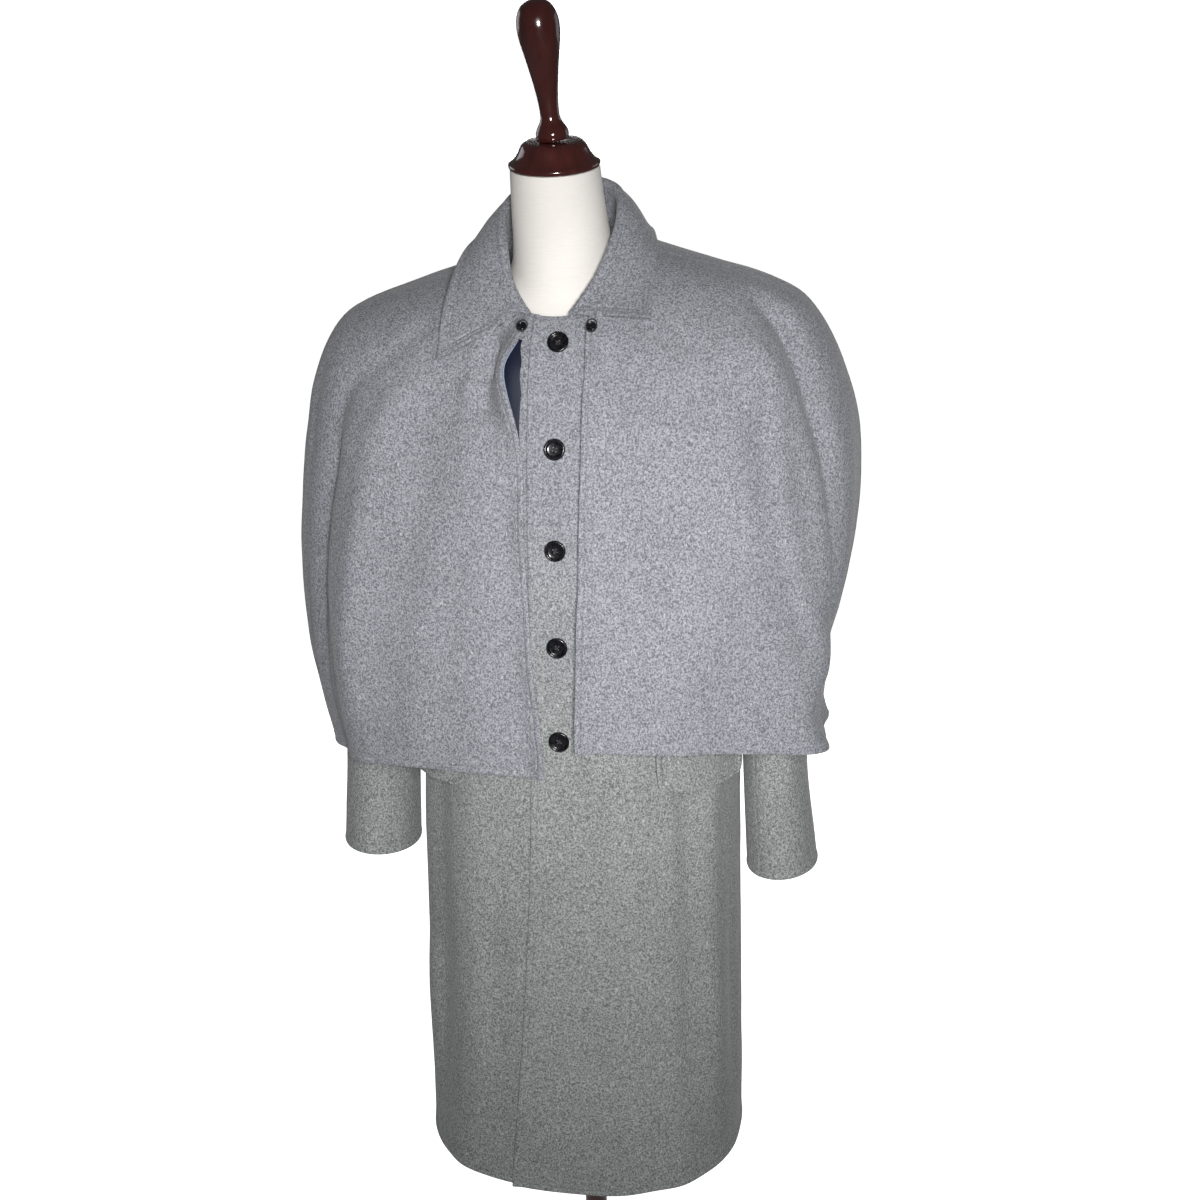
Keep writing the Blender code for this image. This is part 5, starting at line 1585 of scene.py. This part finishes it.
def build_stand(settings):
    """The lacquered neck cap, finial, pole and base."""
    top = FORM[-1]
    tip = math.atan2(top.back_z - top.front_z, top.front + top.back)
    seat = (
        Matrix.Translation((top.centre_x, top.centre_y, top.side_z))
        @ Matrix.Rotation(tip, 4, "X") @ Matrix.Translation((0.0, 0.0, 2.0 * CLEAR))
    )
    r = NECK_CAP_RADIUS
    cap = [
        (r - 0.0022, 0.0), (r - 0.0008, 0.0006), (r, 0.0022), (r, 0.0042), (r - 0.0006, 0.0056),
        (r - 0.0022, 0.0066), (r - 0.0050, 0.0085), (r - 0.0085, 0.0120), (r - 0.0115, 0.0165),
        (r - 0.0140, 0.0215), (r - 0.0160, 0.0252), (r - 0.0176, 0.0268), (r - 0.0190, 0.0277),
        (r - 0.0206, 0.0286), (r - 0.0230, NECK_CAP_HEIGHT), (0.004, NECK_CAP_HEIGHT),
    ]
    obj = turned_up("lacquered_neck_cap", cap, FINISH["lacquer"], 96)
    placed(settle(obj, seat), "lacquer", "neck_cap")

    rows = [(radius, height * FINIAL_HEIGHT) for radius, height in reversed(FINIAL_PROFILE) if radius > 0.0]
    fine = smooth_profile(rows, 70) + [(0.0030, FINIAL_HEIGHT - 0.0001)]
    heel = FINIAL_FOOT_RADIUS * math.sin(abs(FINIAL_LEAN))
    rise = Matrix.Translation((0.0, 0.0, NECK_CAP_HEIGHT + CLEAR + heel))
    foot = seat @ rise @ Matrix.Rotation(FINIAL_LEAN, 4, "Y")
    obj = turned_up("lacquered_finial", fine, FINISH["lacquer"], 64)
    placed(settle(obj, foot), "lacquer", "finial")

    low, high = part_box("stand_pole")
    foot_z, top_z = low[2], high[2]
    pole = [
        (POLE_RADIUS * 0.97, foot_z), (POLE_RADIUS, foot_z + 0.001), (POLE_RADIUS, foot_z + 0.060),
        (POLE_RADIUS * 0.90, foot_z + 0.064), (POLE_RADIUS * 0.90, foot_z + 0.300),
        (POLE_RADIUS, foot_z + 0.304), (POLE_RADIUS, foot_z + 0.330), (POLE_RADIUS * 0.90, foot_z + 0.334),
        (POLE_RADIUS * 0.90, top_z - 0.001), (POLE_RADIUS * 0.86, top_z),
    ]
    placed(turned_up("lacquered_pole", pole, FINISH["lacquer"], 48), "lacquer", "stand_pole")
    base = [
        (BASE_RADIUS - 0.0030, 0.0), (BASE_RADIUS - 0.0008, 0.0012), (BASE_RADIUS, 0.0035),
        (BASE_RADIUS, 0.0085), (BASE_RADIUS - 0.0012, 0.0118), (BASE_RADIUS - 0.0040, 0.0145),
        (BASE_RADIUS - 0.0110, 0.0172), (BASE_RADIUS - 0.0200, 0.0186), (0.150, 0.0208),
        (0.100, 0.0230), (0.060, 0.0252), (0.046, 0.0268), (0.039, 0.0290), (0.035, 0.0315),
        (0.0325, 0.0332), (0.030, BASE_HEIGHT), (0.004, BASE_HEIGHT),
    ]
    placed(turned_up("lacquered_base", base, FINISH["lacquer"], 128), "lacquer", "stand_base")


# ---------------------------------------------------------------- studio
VIEW_TURN = math.radians(10.0)
VIEW_TILT = math.radians(17.2)
VIEW_ROLL = math.radians(1.2)
VIEW_HEIGHT = 1.70
VIEW_DISTANCE = 2.10
VIEW_ASIDE = 0.022
VIEW_LENS = 54.0


def aim_camera():
    """The camera, a little to the side and above, looking down on the coat."""
    right = Vector((math.cos(VIEW_TURN), math.sin(VIEW_TURN), 0.0))
    level = Vector((-math.sin(VIEW_TURN), math.cos(VIEW_TURN), 0.0))
    ahead = level * math.cos(VIEW_TILT) - Vector((0.0, 0.0, math.sin(VIEW_TILT)))
    up = right.cross(ahead)
    side = right * math.cos(VIEW_ROLL) - up * math.sin(VIEW_ROLL)
    top = up * math.cos(VIEW_ROLL) + right * math.sin(VIEW_ROLL)
    lens = bpy.data.cameras.new("studio_camera")
    lens.lens = VIEW_LENS
    lens.sensor_width = 36.0
    lens.clip_start = 0.05
    camera = bpy.data.objects.new("studio_camera", lens)
    turn = Matrix((side, top, -ahead)).transposed()
    spot = -level * VIEW_DISTANCE + Vector((0.0, 0.0, VIEW_HEIGHT)) + right * VIEW_ASIDE
    camera.matrix_world = Matrix.Translation(spot) @ turn.to_4x4()
    bpy.context.scene.collection.objects.link(camera)
    bpy.context.scene.camera = camera


def softbox(name, spot, target, size, power, colour=(1.0, 1.0, 1.0), spread=180.0):
    """A square soft light at a spot, turned to a target."""
    light = bpy.data.lights.new(name, "AREA")
    light.shape = "SQUARE"
    light.size = size
    light.energy = power
    light.color = colour
    light.spread = math.radians(spread)
    obj = bpy.data.objects.new(name, light)
    way = Vector(target) - Vector(spot)
    obj.matrix_world = Matrix.Translation(spot) @ way.to_track_quat("-Z", "Y").to_matrix().to_4x4()
    bpy.context.scene.collection.objects.link(obj)


def build_stage(settings):
    """A plain pale floor, soft lights, a pale surround and the camera."""
    bpy.ops.object.select_all(action="DESELECT")
    bpy.ops.mesh.primitive_circle_add(
        vertices=96, radius=14.0, fill_type="NGON", location=(0.0, 0.0, -0.0004),
    )
    floor = bpy.context.object
    floor.name = "studio_floor"
    floor.data.materials.append(FINISH["floor"])
    softbox("key_softbox", (0.52, -2.2, 1.70), (0.05, 0.0, 1.06), 0.40, settings.key, (1.0, 0.99, 0.98), 60.0)
    softbox("left_softbox", (-2.2, 1.2, 1.9), (0.0, 0.0, 1.0), 1.2, settings.fill * 0.9, (0.97, 0.98, 1.0))
    softbox("right_softbox", (2.2, 1.8, 1.9), (0.0, 0.0, 1.0), 1.4, settings.fill * 0.7, (0.93, 0.96, 1.0))
    softbox("back_softbox", (-0.3, 2.8, 1.7), (0.0, 0.0, 1.0), 1.4, settings.fill * 5.0)
    world = bpy.data.worlds.new("pale_surround")
    world.use_nodes = True
    surround = world.node_tree.nodes["Background"]
    surround.inputs[0].default_value = (1.0, 1.0, 1.0, 1.0)
    wire = Wiring(world.node_tree)
    sight = wire.node("ShaderNodeLightPath").outputs["Is Camera Ray"]
    wire.tree.links.new(wire.step(sight, 0.0, 1.0, settings.surround, 1.05), surround.inputs[1])
    bpy.context.scene.world = world
    bpy.context.scene.view_settings.view_transform = "Standard"
    aim_camera()


# ---------------------------------------------------------------- the add-on
class CapeCoatSettings(bpy.types.PropertyGroup):
    """The sizes and colours a user would change."""

    cape_dark: bpy.props.FloatVectorProperty(
        name="Cape dark fibre", description="Colour of the darker fibres in the cape's wool",
        subtype="COLOR", size=3, min=0.0, max=1.0, default=(0.120, 0.125, 0.144),
    )
    cape_light: bpy.props.FloatVectorProperty(
        name="Cape light fibre", description="Colour of the lighter fibres in the cape's wool",
        subtype="COLOR", size=3, min=0.0, max=1.0, default=(0.340, 0.350, 0.382),
    )
    coat_dark: bpy.props.FloatVectorProperty(
        name="Coat dark fibre", description="Colour of the darker fibres in the coat's wool",
        subtype="COLOR", size=3, min=0.0, max=1.0, default=(0.118, 0.127, 0.126),
    )
    coat_light: bpy.props.FloatVectorProperty(
        name="Coat light fibre", description="Colour of the lighter fibres in the coat's wool",
        subtype="COLOR", size=3, min=0.0, max=1.0, default=(0.352, 0.370, 0.364),
    )
    ripple: bpy.props.FloatProperty(
        name="Unevenness", description="How far the hanging cloth strays from its rings",
        subtype="DISTANCE", unit="LENGTH", min=0.0, max=0.005, default=0.0014, precision=4,
    )
    button: bpy.props.FloatProperty(
        name="Button size", description="How wide a coat button is",
        subtype="DISTANCE", unit="LENGTH", min=0.015, max=0.035, default=0.0245, precision=4,
    )
    key: bpy.props.FloatProperty(
        name="Key light", description="Power of the main soft light",
        subtype="POWER", unit="POWER", min=0.0, default=8.4,
    )
    fill: bpy.props.FloatProperty(
        name="Fill light", description="Power of the soft light opposite the main one",
        subtype="POWER", unit="POWER", min=0.0, default=6.0,
    )
    surround: bpy.props.FloatProperty(
        name="Surround", description="Light that the pale surround gives", min=0.0, default=0.07,
    )


class CapeCoatStep:
    """What every step's operator shares: it runs its builder with the scene's settings."""

    bl_options = {"REGISTER", "UNDO"}
    builder = None

    def execute(self, context):
        type(self).builder(context.scene.cape_coat)
        return {"FINISHED"}


class CAPECOAT_OT_finishes(CapeCoatStep, bpy.types.Operator):
    """Make the wool, lining, linen, lacquer, resin and thread finishes"""

    bl_idname = "cape_coat.finishes"
    bl_label = "Mix finishes"
    builder = mix_finishes


class CAPECOAT_OT_body(CapeCoatStep, bpy.types.Operator):
    """Build the coat's two lapped fronts and its back"""

    bl_idname = "cape_coat.body"
    bl_label = "Build coat body"
    builder = build_body


class CAPECOAT_OT_sleeves(CapeCoatStep, bpy.types.Operator):
    """Build the two-piece sleeves"""

    bl_idname = "cape_coat.sleeves"
    bl_label = "Build sleeves"
    builder = build_sleeves


class CAPECOAT_OT_flaps(CapeCoatStep, bpy.types.Operator):
    """Build the pocket flaps"""

    bl_idname = "cape_coat.flaps"
    bl_label = "Build pocket flaps"
    builder = build_flaps


class CAPECOAT_OT_buttons(CapeCoatStep, bpy.types.Operator):
    """Sew on the coat buttons and work their buttonholes"""

    bl_idname = "cape_coat.buttons"
    bl_label = "Sew coat buttons"
    builder = build_buttons


class CAPECOAT_OT_cape(CapeCoatStep, bpy.types.Operator):
    """Build the cape, its lining and its turned edges"""

    bl_idname = "cape_coat.cape"
    bl_label = "Build cape"
    builder = build_cape


class CAPECOAT_OT_cape_buttons(CapeCoatStep, bpy.types.Operator):
    """Sew on the small buttons that hold the cape"""

    bl_idname = "cape_coat.cape_buttons"
    bl_label = "Sew cape buttons"
    builder = build_cape_buttons


class CAPECOAT_OT_collar(CapeCoatStep, bpy.types.Operator):
    """Build the turn-down collar over the cape"""

    bl_idname = "cape_coat.collar"
    bl_label = "Build collar"
    builder = build_collar


class CAPECOAT_OT_form(CapeCoatStep, bpy.types.Operator):
    """Build the linen-covered dress form"""

    bl_idname = "cape_coat.form"
    bl_label = "Build dress form"
    builder = build_form


class CAPECOAT_OT_stand(CapeCoatStep, bpy.types.Operator):
    """Turn the neck cap, finial, pole and base"""

    bl_idname = "cape_coat.stand"
    bl_label = "Turn cap and stand"
    builder = build_stand


class CAPECOAT_OT_stage(CapeCoatStep, bpy.types.Operator):
    """Set up the floor, lights and camera"""

    bl_idname = "cape_coat.stage"
    bl_label = "Set up stage"
    builder = build_stage


STEPS = (
    CAPECOAT_OT_finishes, CAPECOAT_OT_stage, CAPECOAT_OT_body, CAPECOAT_OT_sleeves,
    CAPECOAT_OT_flaps, CAPECOAT_OT_buttons, CAPECOAT_OT_cape, CAPECOAT_OT_cape_buttons,
    CAPECOAT_OT_collar, CAPECOAT_OT_form, CAPECOAT_OT_stand,
)


class CAPECOAT_PT_panel(bpy.types.Panel):
    """The steps in order, and the settings they read"""

    bl_idname = "CAPECOAT_PT_panel"
    bl_label = "Cape coat"
    bl_space_type = "VIEW_3D"
    bl_region_type = "UI"
    bl_category = "Cape coat"

    def draw(self, context):
        settings = context.scene.cape_coat
        for name in CapeCoatSettings.__annotations__:
            self.layout.prop(settings, name)
        for step in STEPS:
            self.layout.operator(step.bl_idname)


CLASSES = (CapeCoatSettings, *STEPS, CAPECOAT_PT_panel)


def register():
    for cls in CLASSES:
        bpy.utils.register_class(cls)
    bpy.types.Scene.cape_coat = bpy.props.PointerProperty(type=CapeCoatSettings)


def unregister():
    del bpy.types.Scene.cape_coat
    for cls in reversed(CLASSES):
        bpy.utils.unregister_class(cls)


def main():
    register()
    for step in STEPS:
        # Black button resin, polished, its gloss and colour varying a little from place to place.
        family, action = step.bl_idname.split(".")
        getattr(getattr(bpy.ops, family), action)()


if __name__ == "__main__":
    main()
